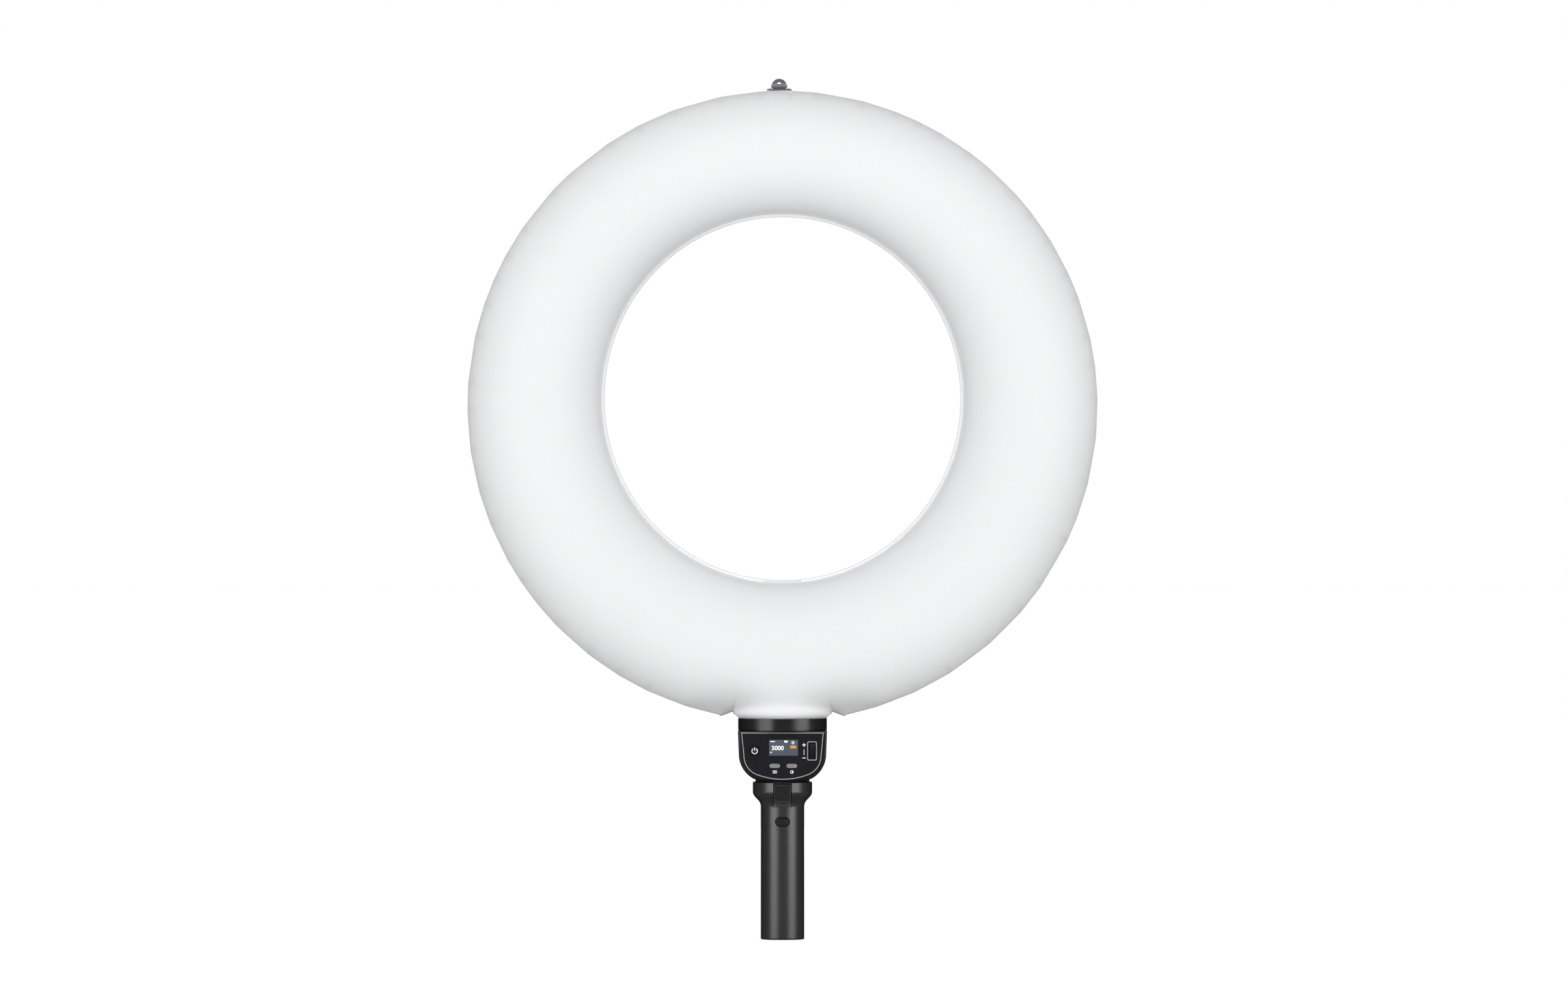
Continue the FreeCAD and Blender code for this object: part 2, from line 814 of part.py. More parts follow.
# Neck and spigot
spigot = turned(
    "spigot",
    [
        (spigot_radius, spigot_low),
        (spigot_radius, neck_low),
        (neck_radius, neck_low),
        (neck_radius, head_low),
        (spigot_radius - spigot_wall, head_low),
        (spigot_radius - spigot_wall, spigot_low + spigot_wall),
        (0, spigot_low + spigot_wall),
        (0, spigot_low),
    ],
)
spigot_key = block(
    "spigot_key",
    (-key_half, key_half),
    (spigot_radius - key_half / 2, spigot_radius + key_out),
    (neck_low - key_length, neck_low),
)
spigot_face = block(
    "spigot_face",
    (-spigot_flat_half, spigot_flat_half),
    (-spigot_radius * 2, -spigot_flat),
    (spigot_low - cap_rim, neck_low),
)
nose_notch = block(
    "nose_notch",
    (-leaf_half - moving_gap, leaf_half + moving_gap),
    (-spigot_radius, -leaf_in + nose_reach + moving_gap),
    (nose_low - moving_gap, nose_low + nose_tall + moving_gap),
)
pad_radius = pin_radius + leaf_thick
pad_holes = []
pads = []
for place_no in (-1, 0, 1):
    spot = pin_pitch * place_no
    pad_holes.append(rod(f"pad_hole_{place_no}", pad_radius, leaf_thick, x=spot, z=spigot_low))
    pads.append(rod(f"pad_{place_no}", pad_radius, leaf_thick, x=spot, z=spigot_low))
spigot_body = fuse("spigot_body", spigot, spigot_key)
node("neck_spigot", cut("neck_spigot", spigot_body, spigot_face, nose_notch, *pad_holes))
node("spigot_contacts", group("spigot_contacts", pads))

# Control head: outline of the cup
side_z = head_low + head_side_rise
foot_z = head_low + cup_foot_rise


def cup_side(inset):
    """Right side of the cup from its foot to its top, moved inwards by the inset."""
    return [
        (cup_foot_radius - inset * FOOT_SIDE, foot_z + inset * FOOT_UP),
        (head_side_radius - inset, side_z, cup_arc - inset),
        (head_top_radius - inset, head_top - inset),
    ]


def cup_round(name, inset):
    """The round cup, all the way about the Z axis."""
    foot = (cup_foot_radius - cup_foot_rise - inset * FOOT_SIDE, head_low + inset)
    axis = [(0, head_top - inset), (0, head_low + inset)]
    return turned(name, [foot] + cup_side(inset) + axis)


def cup_front(name, inset, front, back):
    """The flat-fronted half of the cup, with its curved chin."""
    foot, side, top = cup_side(inset)
    outline = [
        (foot[0], foot[1], chin_arc - inset),
        side,
        top,
        (-top[0], top[1]),
        (-side[0], side[1]),
        (-foot[0], foot[1], side[2]),
    ]
    return facing(name, outline, front, back)


def soften(body, front, radius):
    """Round the edges of a body that lie wholly in its front face."""
    doc.recompute()
    edges = []
    for number, edge_shape in enumerate(body.Shape.Edges, 1):
        if all(abs(corner.Y - float(front)) < 1e-6 for corner in edge_shape.Vertexes):
            edges.append(f"Edge{number}")
    feature = body.newObject("PartDesign::Fillet", f"{body.Name}_round")
    feature.Base = (body.Group[-2], edges)
    bind(feature, Radius=radius)
    return body


def panel_outline(inset):
    """Outline of the panel's trim, moved inwards by the inset."""
    low = head_top - panel_low_drop
    half = panel_low_half - inset * CHIN_SIDE
    half_z = low + panel_low_rise + inset * CHIN_UP
    side = (panel_side_half - inset, low + panel_side_rise)
    top = (panel_top_half - inset, head_top - panel_top_drop - inset)
    return [
        (half, half_z, panel_low_arc - inset),
        (side[0], side[1], panel_side_arc - inset),
        top,
        (-top[0], top[1]),
        (-side[0], side[1]),
        (-half, half_z, panel_side_arc - inset),
    ]


# Control head: places of the controls
power_z = head_top - power_drop
pill_z = head_top - pill_drop
dial_z = head_top - dial_drop
dial_y = face_y - dial_proud + dial_radius
screen_z = head_top - screen_drop
pill_places = {"menu_button": pill_x - pill_spread, "mode_button": pill_x + pill_spread}
screen_low, screen_high = screen_z - screen_tall / 2, screen_z + screen_tall / 2
screen_left, screen_right = screen_x - screen_wide / 2, screen_x + screen_wide / 2
dial_frame_x = dial_x - seat_gap * 5

# Control head: front shell
wide_enough = (-band_radius * 2, band_radius * 2)
tall_enough = (0, head_top * 2)
tool_front = face_y * 2
window_back = inner_y + head_wall
front_outer = soften(cup_front("front_outer", as_size(0), face_y, as_size(0)), face_y, face_round)
front_inner = cup_front("front_inner", head_wall, inner_y, head_wall)
seat = facing("panel_seat", panel_outline(as_size(0)), tool_front, seat_y)
flange_gap = button_flange + moving_gap * 2
windows = [
    block(
        "display_window_hole",
        (screen_left - screen_frame, screen_right + screen_frame),
        (tool_front, window_back),
        (screen_low - screen_frame, screen_high + screen_frame),
    ),
    disc_outline("power_hole", power_radius + flange_gap, power_x, power_z, tool_front, window_back),
    block(
        "wheel_window",
        (dial_x - dial_wide / 2 - moving_gap, dial_x + dial_wide / 2 + moving_gap),
        (tool_front, window_back),
        (dial_z - dial_radius + wheel_lip, dial_z + dial_radius - wheel_lip),
    ),
]
for label, pill_place in pill_places.items():
    grown = stadium(pill_place, pill_z, pill_wide + flange_gap * 2, pill_tall + flange_gap * 2)
    windows.append(facing(f"{label}_window", grown, tool_front, window_back))
neck_room = rod("neck_room", neck_radius + seat_gap, head_low, z=0)
throat = rod("throat", spigot_radius - spigot_wall, head_wall * 4, z=head_low - head_wall)
screw_spots = []
for turn_no in range(4):
    angle = math.radians(45 + 90 * turn_no)
    screw_spots.append((screw_circle * math.cos(angle), screw_circle * math.sin(angle)))


def screw_holes(name, low, length):
    """Four clearance holes on the screw circle."""
    hole = screw_radius + seat_gap
    return [
        rod(f"{name}_{number}", hole, length, x=x, y=y, z=low)
        for number, (x, y) in enumerate(screw_spots)
    ]


roof_low = head_top - head_wall
lead_y = strip_half - screw_radius
lead_hole = lead_radius + seat_gap
roof_tools = [
    rod("tube_hole", tube_radius + seat_gap, head_wall * 2, y=pump_y, z=roof_low - head_wall / 2),
    rod("lead_hole", lead_hole, head_wall * 2, x=lead_x, y=lead_y, z=roof_low - head_wall / 2),
]
boss_radius = stem_radius + button_travel
front_bosses = []
for number, (x, drop) in enumerate(FRONT_BOSSES):
    boss_name = f"front_boss_{number}"
    boss_z = head_top - drop
    front_bosses.append(disc_outline(boss_name, boss_radius, x, boss_z, inner_y - seat_gap, board_y))
front_half = cut("front_half", front_outer, front_inner)
front_room = block("front_room", wide_enough, (0, band_radius), tall_enough)
front_full = cut("front_full", fuse("front_with_bosses", front_half, *front_bosses), front_room)
node(
    "head_front_shell",
    cut(
        "head_front_shell",
        front_full,
        seat,
        neck_room,
        throat,
        *windows,
        *screw_holes("front_screw", roof_low - head_wall / 2, head_wall * 2),
    ),
)

# Control head: rear shell
rear_outer = cup_round("rear_outer", as_size(0))
rear_inner = cup_round("rear_inner", head_wall)
driver_y = pump_y + pump_radius + head_wall * 2
rear_bosses = []
boss_front = driver_y + board_thick
boss_back = head_side_radius - boss_sink
for number, (x, drop) in enumerate(REAR_BOSSES):
    boss_name = f"rear_boss_{number}"
    rear_bosses.append(disc_outline(boss_name, boss_radius, x, head_top - drop, boss_front, boss_back))
rear_room = block("rear_room", wide_enough, (-band_radius * 2, 0), tall_enough)
rear_half = cut("rear_half", rear_outer, rear_inner)
rear_full = cut("rear_full", fuse("rear_with_bosses", rear_half, *rear_bosses), rear_room)
throat_rear = rod("throat_rear", spigot_radius - spigot_wall, head_wall * 4, z=head_low - head_wall)
node(
    "head_rear_shell",
    cut(
        "head_rear_shell",
        rear_full,
        throat_rear,
        *roof_tools,
        *screw_holes("rear_screw", roof_low - head_wall / 2, head_wall * 2),
    ),
)
node(
    "top_band",
    turned(
        "top_band",
        [
            (collar_radius + seat_gap, head_top),
            (groove_radius, head_top),
            (groove_radius, band_low),
            (band_radius - band_chamfer, band_low),
            (band_radius, band_low + band_chamfer),
            (band_radius, band_top - band_chamfer),
            (band_radius - band_chamfer, band_top),
            (collar_radius + seat_gap, band_top),
        ],
    ),
)

# Control panel, its silver trim and the display
trim_plate = facing("trim_plate", panel_outline(seat_gap), face_y - trim_proud, seat_y)
trim_room = facing("trim_room", panel_outline(trim_wide), tool_front, 0)
node("panel_trim", cut("panel_trim", trim_plate, trim_room))
panel_plate = facing("panel_plate", panel_outline(trim_wide), panel_front, seat_y)
frame_outline = rounded(dial_frame_x, dial_z, frame_wide, frame_tall, frame_corner)
ring_outer = power_radius + moving_gap + power_ring_wide
panel_tools = [
    block("screen_hole", (screen_left, screen_right), (tool_front, 0), (screen_low, screen_high)),
    disc_outline("ring_hole", ring_outer, power_x, power_z, tool_front, 0),
    facing("frame_hole", frame_outline, tool_front, 0),
]
for label, pill_place in pill_places.items():
    gap = stadium(pill_place, pill_z, pill_wide + moving_gap * 2, pill_tall + moving_gap * 2)
    panel_tools.append(facing(f"{label}_hole", gap, tool_front, 0))
node("control_panel", cut("control_panel", panel_plate, *panel_tools))
node(
    "display_window",
    block(
        "display_window",
        (screen_left + seat_gap, screen_right - seat_gap),
        (panel_front, seat_y),
        (screen_low + seat_gap, screen_high - seat_gap),
    ),
)
node(
    "display_module",
    block(
        "display_module",
        (screen_left - screen_frame / 2, screen_right + screen_frame / 2),
        (seat_y, board_y),
        (screen_low - screen_frame / 2, screen_high + screen_frame / 2),
    ),
)
main_board = block(
    "main_board",
    (-dial_x - head_wall, dial_x - dial_wide / 2 - moving_gap * 2 - cheek_thick),
    (board_y, board_y + board_thick),
    (pill_z - main_board_drop, roof_low - moving_gap),
)
node("control_board", main_board)

# Push buttons with their flanges and stems, and the switches behind them
button_front = panel_front - button_proud
flange_front = seat_y + moving_gap
flange_back = flange_front + button_flange
switch_front = board_y - switch_thick
stem_back = switch_front - button_travel - seat_gap * 2
stem_front = flange_back - button_flange / 2
power_wide = power_radius + button_flange
power_parts = [
    disc_outline("power_cap", power_radius, power_x, power_z, button_front, flange_back),
    disc_outline("power_flange", power_wide, power_x, power_z, flange_front, flange_back),
    disc_outline("power_stem", stem_radius, power_x, power_z, stem_front, stem_back),
]
node("power_button", fuse("power_button", *power_parts))
power_ring = disc_outline("ring_plate", ring_outer - seat_gap, power_x, power_z, panel_front, seat_y)
power_room = disc_outline("ring_room", power_radius + moving_gap, power_x, power_z, tool_front, 0)
node("power_ring", cut("power_ring", power_ring, power_room))
switches = []
for label, pill_place in pill_places.items():
    cap = stadium(pill_place, pill_z, pill_wide, pill_tall)
    flange_size = (pill_wide + button_flange * 2, pill_tall + button_flange * 2)
    flange = stadium(pill_place, pill_z, *flange_size)
    parts = [
        facing(f"{label}_cap", cap, button_front, flange_back),
        facing(f"{label}_flange", flange, flange_front, flange_back),
        disc_outline(f"{label}_stem", stem_radius, pill_place, pill_z, stem_front, stem_back),
    ]
    node(label, fuse(label, *parts))
switch_places = [(power_x, power_z)] + [(x, pill_z) for x in pill_places.values()]
for number, (x, z) in enumerate(switch_places):
    switches.append(
        block(
            f"switch_{number}",
            (x - switch_half, x + switch_half),
            (switch_front, board_y),
            (z - switch_half, z + switch_half),
        )
    )
node("tact_switches", group("tact_switches", switches))

# Dial: ribbed wheel, axle, bracket and the silver frame round it
frame_plate = facing("frame_plate", frame_outline, panel_front - trim_proud * 2, seat_y)
frame_inner = rounded(
    dial_frame_x,
    dial_z,
    frame_wide - frame_line * 2,
    frame_tall - frame_line * 2,
    frame_corner - frame_line / 2,
)
node("dial_frame", cut("dial_frame", frame_plate, facing("frame_room", frame_inner, tool_front, 0)))
wheel_left = dial_x - dial_wide / 2
wheel = rod("wheel", dial_radius, dial_wide, x=wheel_left, y=dial_y, z=dial_z, along="x")
wheel_bore = rod(
    "wheel_bore",
    dial_axle_radius + pin_gap,
    dial_wide * 2,
    x=wheel_left - dial_wide / 2,
    y=dial_y,
    z=dial_z,
    along="x",
)
notches = []
for number in range(DIAL_NOTCHES):
    angle = 2 * math.pi * number / DIAL_NOTCHES
    notches.append(
        rod(
            f"notch_{number}",
            dial_notch,
            dial_wide * 2,
            x=wheel_left - dial_wide / 2,
            y=dial_y + dial_radius * math.cos(angle),
            z=dial_z + dial_radius * math.sin(angle),
            along="x",
        )
    )
node("dial_wheel", cut("dial_wheel", wheel, wheel_bore, *notches))
cheek_in = dial_wide / 2 + moving_gap
cheek_out = cheek_in + cheek_thick
cheek_back = dial_y + dial_radius + moving_gap * 2
cheeks = [
    block(
        f"cheek_{side_name}",
        (dial_x + low * side, dial_x + high * side),
        (inner_y, cheek_back + cheek_thick),
        (dial_z - cheek_half, dial_z + cheek_half),
    )
    for side_name, side, low, high in (("right", 1, cheek_in, cheek_out), ("left", -1, cheek_out, cheek_in))
]
cheek_base = block(
    "cheek_base",
    (dial_x - cheek_out, dial_x + cheek_out),
    (cheek_back, cheek_back + cheek_thick),
    (dial_z - cheek_half, dial_z + cheek_half),
)
axle_args = {"x": dial_x - cheek_out, "y": dial_y, "z": dial_z, "along": "x"}
axle_hole = rod("axle_hole", dial_axle_radius, cheek_out * 2, **axle_args)
node("dial_bracket", cut("dial_bracket", fuse("bracket_body", *cheeks, cheek_base), axle_hole))
node("dial_axle", rod("dial_axle", dial_axle_radius, cheek_out * 2, **axle_args))

# Air pump under the roof of the head
pump_top = roof_low
pump_low = pump_top - pump_height
pump_case = rod("pump_case", pump_radius, pump_height, y=pump_y, z=pump_low)
pump_room = rod(
    "pump_room",
    pump_radius - pump_wall,
    pump_height - pump_wall * 2,
    y=pump_y,
    z=pump_low + pump_wall,
)
pump_tools = [
    pump_room,
    rod("pump_outlet", tube_radius - tube_wall, pump_wall * 4, y=pump_y, z=pump_top - pump_wall * 2),
    rod("pump_shaft_hole", shaft_radius * 2, pump_wall * 2, y=pump_y, z=pump_low - pump_wall / 2),
]
inlet_circle = (motor_radius + pump_radius - pump_wall) / 2
for number in range(PUMP_INLETS):
    angle = 2 * math.pi * number / PUMP_INLETS
    pump_tools.append(
        rod(
            f"pump_inlet_{number}",
            pump_wall,
            pump_wall * 2,
            x=inlet_circle * math.cos(angle),
            y=pump_y + inlet_circle * math.sin(angle),
            z=pump_low - pump_wall / 2,
        )
    )
node("pump_housing", cut("pump_housing", pump_case, *pump_tools))
motor_low = pump_low - motor_length
motor_case = rod("motor_case", motor_radius, motor_length, y=pump_y, z=motor_low)
motor_bore = rod(
    "motor_bore",
    shaft_radius + pin_gap,
    motor_length,
    y=pump_y,
    z=motor_low + pump_wall * 2,
)
node("pump_motor", cut("pump_motor", motor_case, motor_bore))
rotor_low = pump_low + pump_wall * 2
shaft_low = motor_low + pump_wall * 3
rotor_parts = [
    rod("rotor_shaft", shaft_radius, rotor_low - shaft_low + rotor_disc, y=pump_y, z=shaft_low),
    rod("rotor_disc_plate", rotor_radius, rotor_disc, y=pump_y, z=rotor_low),
    rod("rotor_hub", hub_radius, rotor_disc + vane_tall, y=pump_y, z=rotor_low),
]
for number in range(VANES):
    angle = 2 * math.pi * number / VANES
    start = hub_radius / 2
    vane = doc.addObject("Part::Box", f"vane_{number}")
    bind(vane, Length=rotor_radius - start - pin_gap, Width=vane_thick, Height=vane_tall + rotor_disc / 2)
    place(
        vane,
        start * math.cos(angle) + vane_thick * (math.sin(angle) / 2),
        pump_y + start * math.sin(angle) - vane_thick * (math.cos(angle) / 2),
        rotor_low + rotor_disc / 2,
        FreeCAD.Rotation(V(0, 0, 1), math.degrees(angle)),
    )
    rotor_parts.append(vane)
node("pump_impeller", fuse("pump_impeller", *rotor_parts))
tube_top = collar_floor + collar_wall
air_outer = rod("air_outer", tube_radius, tube_top - pump_top, y=pump_y, z=pump_top)
air_inner = rod("air_inner", tube_radius - tube_wall, head_height, y=pump_y, z=pump_top - pump_wall)
node("air_tube", cut("air_tube", air_outer, air_inner))
node("check_valve", rod("check_valve", flap_radius, flap_thick, y=pump_y, z=tube_top))
node(
    "driver_board",
    block(
        "driver_board",
        (-driver_half, driver_half),
        (driver_y, driver_y + board_thick),
        (side_z - head_wall * 2, roof_low - head_wall),
    ),
)

# Collar between the head and the bag
collar_wall_in = collar_radius - collar_wall
collar_body = turned(
    "collar_body",
    [
        (collar_radius, collar_low),
        (collar_radius, band_top),
        (collar_lip_radius, band_top),
        (collar_top_radius, band_top + collar_flare),
        (collar_top_radius, collar_top),
        (collar_top_radius - collar_wall, collar_top),
        (collar_top_radius - collar_wall, collar_top - collar_rim / 2),
        (collar_lip_radius - collar_wall, band_top + collar_wall),
        (collar_wall_in, band_top + collar_wall),
        (collar_wall_in, collar_floor),
        (0, collar_floor),
        (0, collar_low),
    ],
)
under_floor = collar_low - collar_wall / 2
collar_tools = [
    rod("collar_tube_hole", tube_radius + seat_gap, collar_wall * 2, y=pump_y, z=under_floor),
    rod("collar_lead_hole", lead_hole, collar_wall * 2, x=lead_x, y=lead_y, z=under_floor),
]
collar_screw_holes = screw_holes("collar_screw", under_floor, collar_wall * 2)
node("collar", cut("collar", collar_body, *collar_tools, *collar_screw_holes))
seal_plate = rod("seal_plate", seal_outer, seal_thick, z=head_top)
seal_room = rod("seal_room", seal_inner, seal_thick * 3, z=head_top - seal_thick)
node("collar_seal", cut("collar_seal", seal_plate, seal_room))
screws = []
for number, (x, y) in enumerate(screw_spots):
    shank = rod(f"shank_{number}", screw_radius, screw_length, x=x, y=y, z=collar_floor - screw_length)
    head = rod(f"screw_head_{number}", screw_head_radius, screw_head_tall, x=x, y=y, z=collar_floor)
    screws.append(fuse(f"screw_{number}", shank, head))
node("collar_screws", group("collar_screws", screws))
rim_plate = rod("rim_plate", collar_top_radius + rim_wide, rim_tall, z=rim_low)
rim_room = rod("rim_room", collar_top_radius + seat_gap, rim_tall * 3, z=rim_low - rim_tall)
node("clamp_rim", cut("clamp_rim", rim_plate, rim_room))
neck_plate = rod("neck_plate", collar_top_radius, neck_film_tall, z=collar_top)
neck_bore = collar_top_radius - neck_film
neck_inside = rod("neck_inside", neck_bore, neck_film_tall * 2, z=collar_top - neck_film)
node("bag_neck", cut("bag_neck", neck_plate, neck_inside))


# Bag: a ring whose hole sits a little above its centre, so the tube is fatter below
def hole_radius(angle):
    """Distance from the hole's centre to its edge."""
    across = math.cos(angle) / float(hole_half_wide)
    upward = math.sin(angle) / float(hole_half_tall)
    return 1 / math.hypot(across, upward)


def rim_radius(angle):
    """Distance from the hole's centre to the bag's outer edge."""
    raised = float(hole_raise) * math.sin(angle)
    return math.sqrt(raised**2 - float(hole_raise) ** 2 + float(ring_radius) ** 2) - raised


def ring_section(angle, inset):
    """Round section of the bag's tube at an angle about the hole's centre."""
    low = hole_radius(angle) + float(flange_wide) + inset
    high = rim_radius(angle) - inset
    along = V(math.cos(angle), 0, math.sin(angle))
    middle = V(0, 0, float(ring_centre + hole_raise)) + along * ((low + high) / 2)
    radial = (high - low) / 2
    deep = float(bag_depth) / 2 - inset
    points = []
    for number in range(SECTION_POINTS):
        turn = 2 * math.pi * number / SECTION_POINTS
        points.append(middle - along * (radial * math.cos(turn)) + V(0, deep * math.sin(turn), 0))
    curve = Part.BSplineCurve()
    curve.interpolate(points, PeriodicFlag=True)
    return Part.Wire([curve.toShape()])


def ring_solid(inset):
    """The whole tube as a solid, smaller by the inset all round."""
    turns = [2 * math.pi * number / SECTIONS for number in range(SECTIONS)]
    return Part.makeLoft([ring_section(turn, inset) for turn in turns], True, False, True)


def ellipse_band(inner, outer, half):
    """A flat band that follows the hole at two distances from its edge."""
    centre = V(0, float(half), float(ring_centre + hole_raise))
    faces = []
    for offset in (outer, inner):
        tall = float(hole_half_tall) + float(offset)
        wide = float(hole_half_wide) + float(offset)
        ellipse = Part.Ellipse(centre + V(0, 0, tall), centre + V(wide, 0, 0), centre)
        faces.append(Part.Face(Part.Wire([ellipse.toShape()])))
    return faces[0].cut(faces[1]).extrude(V(0, -2 * float(half), 0))


def feature(label, shape):
    """A sub-part whose shape is worked out here."""
    thing = doc.addObject("Part::Feature", label)
    thing.Shape = shape
    thing.Placement = FreeCAD.Placement()
    return node(label, thing)


def dimple(lift):
    """Room that the collar's rim takes out of the underside of the bag."""
    near = float(collar_top_radius + rim_wide + moving_gap)
    high = float(rim_low + rim_tall + moving_gap) + lift
    slope = float(dimple_rise) / (float(dimple_radius) - near)
    far = float(dimple_reach)
    low = high - slope * (far - near)
    under = low - float(collar_flare)
    corners = [V(0, 0, high), V(near, 0, high), V(far, 0, low), V(far, 0, under), V(0, 0, under)]
    face = Part.Face(Part.makePolygon(corners + corners[:1]))
    return face.revolve(V(0, 0, 0), V(0, 0, 1), 360)


def skirt(inset):
    """Space where the film comes down over the collar's rim, in front and behind."""
    near = float(collar_top_radius + rim_wide + seat_gap * 2 + skin_thick) - inset
    wide = float(bag_depth) / 2 - float(skirt_top_in) - inset
    low = float(rim_low)
    high = low + float(skirt_rise)
    bend = low + float(rim_tall)
    corners = [V(0, 0, low), V(near, 0, low), V(near, 0, bend), V(wide, 0, high), V(0, 0, high)]
    face = Part.Face(Part.makePolygon(corners + corners[:1]))
    half = float(skirt_half) - inset
    room = Part.makeBox(half * 2, wide * 4, high, V(-half, -wide * 2, 0))
    return face.revolve(V(0, 0, 0), V(0, 0, 1), 360).common(room)


thick = float(skin_thick)
bag_outer = ring_solid(0)
bag_inner = ring_solid(thick)
opening = Part.makeCylinder(
    float(collar_top_radius + seat_gap),
    float(neck_film_tall) * 3,
    V(0, 0, float(collar_top - neck_film_tall)),
)
bag_full = bag_outer.cut(dimple(0)).fuse(skirt(0))
bag_hollow = bag_inner.cut(dimple(thick)).fuse(skirt(thick))
rim_space = Part.makeCylinder(
    float(collar_top_radius + rim_wide + seat_gap * 2),
    float(rim_tall + moving_gap * 2),
    V(0, 0, float(rim_low - moving_gap)),
)
skin = bag_full.cut(bag_hollow).cut(opening).cut(rim_space)
reach = float(ring_radius) * 3
floor_z = float(ring_centre) - reach / 2
front_space = Part.makeBox(reach, reach, reach, V(-reach / 2, -reach, floor_z))
feature("bag_front_skin", skin.common(front_space))
feature("bag_rear_skin", skin.cut(front_space))
feature("hole_flange", ellipse_band(0, flange_wide + seat_gap * 2, flange_thick / 2).cut(bag_outer))
former_in = flange_wide + skin_thick + strip_back
former_out = former_in + former_thick
strip_out = former_out + strip_thick
feature("inner_former", ellipse_band(former_in, former_out, former_half))
feature("led_strip", ellipse_band(former_out, strip_out, strip_half))
leds = []
for number in range(LEDS):
    angle = 2 * math.pi * (number + 0.5) / LEDS
    start = hole_radius(angle) + float(strip_out + seat_gap * 2)
    half = float(led_half)
    led = Part.makeBox(float(led_thick), half * 2, half * 2, V(start, -half, -half))
    led.rotate(V(0, 0, 0), V(0, 1, 0), -math.degrees(angle))
    led.translate(V(0, 0, float(ring_centre + hole_raise)))
    leds.append(led)
feature("led_emitters", Part.makeCompound(leds))
lead_low = roof_low - moving_gap
lead_lean = math.sqrt(1 - (float(lead_x) / float(hole_half_wide)) ** 2)
strip_under = ring_centre + hole_raise - (hole_half_tall + strip_out) * lead_lean
lead_tall = strip_under - lead_low - seat_gap * 2
node("strip_lead", rod("strip_lead", lead_radius, lead_tall, x=lead_x, y=lead_y, z=lead_low))

# Hanger on top of the bag
patch = Part.makeBox(
    float(patch_half) * 2,
    float(patch_half_deep) * 2,
    float(patch_half_deep),
    V(
        float(hanger_x - patch_half),
        -float(patch_half_deep),
        float(hanger_low + patch_thick - patch_half_deep),
    ),
)
feature("hanger_patch", patch.cut(bag_outer).Solids[0])
plate_low = hanger_low + patch_thick
plate_top = plate_low + hanger_thick
hinge_z = plate_top + barrel_radius + moving_gap
hanger_plate = block(
    "hanger_plate",
    (hanger_x - hanger_half, hanger_x + hanger_half),
    (-hanger_half_deep, hanger_half_deep),
    (plate_low, plate_top),
)
barrel_web = block(
    "barrel_web",
    (hanger_x - barrel_half, hanger_x + barrel_half),
    (-barrel_radius / 2, barrel_radius / 2),
    (plate_top - hanger_thick / 2, hinge_z),
)
barrel = rod("barrel", barrel_radius, barrel_half * 2, x=hanger_x - barrel_half, z=hinge_z, along="x")
barrel_bore = rod(
    "barrel_bore",
    hanger_pin_radius,
    barrel_half * 4,
    x=hanger_x - barrel_half * 2,
    z=hinge_z,
    along="x",
)
node("hanger_base", cut("hanger_base", fuse("hanger_body", hanger_plate, barrel_web, barrel), barrel_bore))
pin_half = lug_half + seat_gap * 4
node(
    "hanger_pin",
    rod("hanger_pin", hanger_pin_radius, pin_half * 2, x=hanger_x - pin_half, z=hinge_z, along="x"),
)
arch_plate = rod("arch_plate", lug_half, lug_thick, x=hanger_x, y=-lug_thick / 2, z=hinge_z, along="y")
arch_foot = block(
    "arch_foot",
    (hanger_x - lug_half * 2, hanger_x + lug_half * 2),
    (-lug_thick, lug_thick),
    (hinge_z - lug_half * 2, hinge_z),
)
cheek_rods = [
    rod("lug_left", barrel_radius, lug_cheek, x=hanger_x - lug_half, z=hinge_z, along="x"),
    rod("lug_right", barrel_radius, lug_cheek, x=hanger_x + lug_half - lug_cheek, z=hinge_z, along="x"),
]
lug_room = rod(
    "lug_room",
    barrel_radius + moving_gap,
    (lug_half - lug_cheek) * 2,
    x=hanger_x - lug_half + lug_cheek,
    z=hinge_z,
    along="x",
)
lug_bore = rod(
    "lug_bore",
    hanger_pin_radius + pin_gap,
    lug_half * 4,
    x=hanger_x - lug_half * 2,
    z=hinge_z,
    along="x",
)
eye_z = hinge_z + barrel_radius - moving_gap
eye = rod("lug_eye_hole", lug_eye, lug_thick * 4, x=hanger_x, y=-lug_thick * 2, z=eye_z, along="y")
arch = fuse("arch", cut("arch_top", arch_plate, arch_foot), *cheek_rods)
node("hanger_lug", cut("hanger_lug", arch, lug_room, lug_bore, eye))
rivets = [
    rod(f"rivet_{side}", rivet_radius, rivet_tall, x=hanger_x + rivet_x * side, z=plate_top)
    for side in (-1, 1)
]
node("hanger_rivets", group("hanger_rivets", rivets))

# Check every object, then write one file for each sub-part
doc.recompute()
for thing in doc.Objects:
    if "Invalid" in thing.State or "Error" in thing.State:
        raise RuntimeError(f"{thing.Name} could not be worked out: {thing.State}")
for label, thing in nodes.items():
    if thing.Shape.isNull() or not thing.Shape.isValid() or not thing.Shape.Solids:
        raise RuntimeError(f"{label} has no sound shape")
os.makedirs("parts", exist_ok=True)
for label, thing in nodes.items():
    thing.Shape.exportStep(f"parts/{label}.step")
    print(label, len(thing.Shape.Solids), round(thing.Shape.Volume, 1))
print(len(nodes), "sub-parts written")
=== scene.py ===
import math
import random

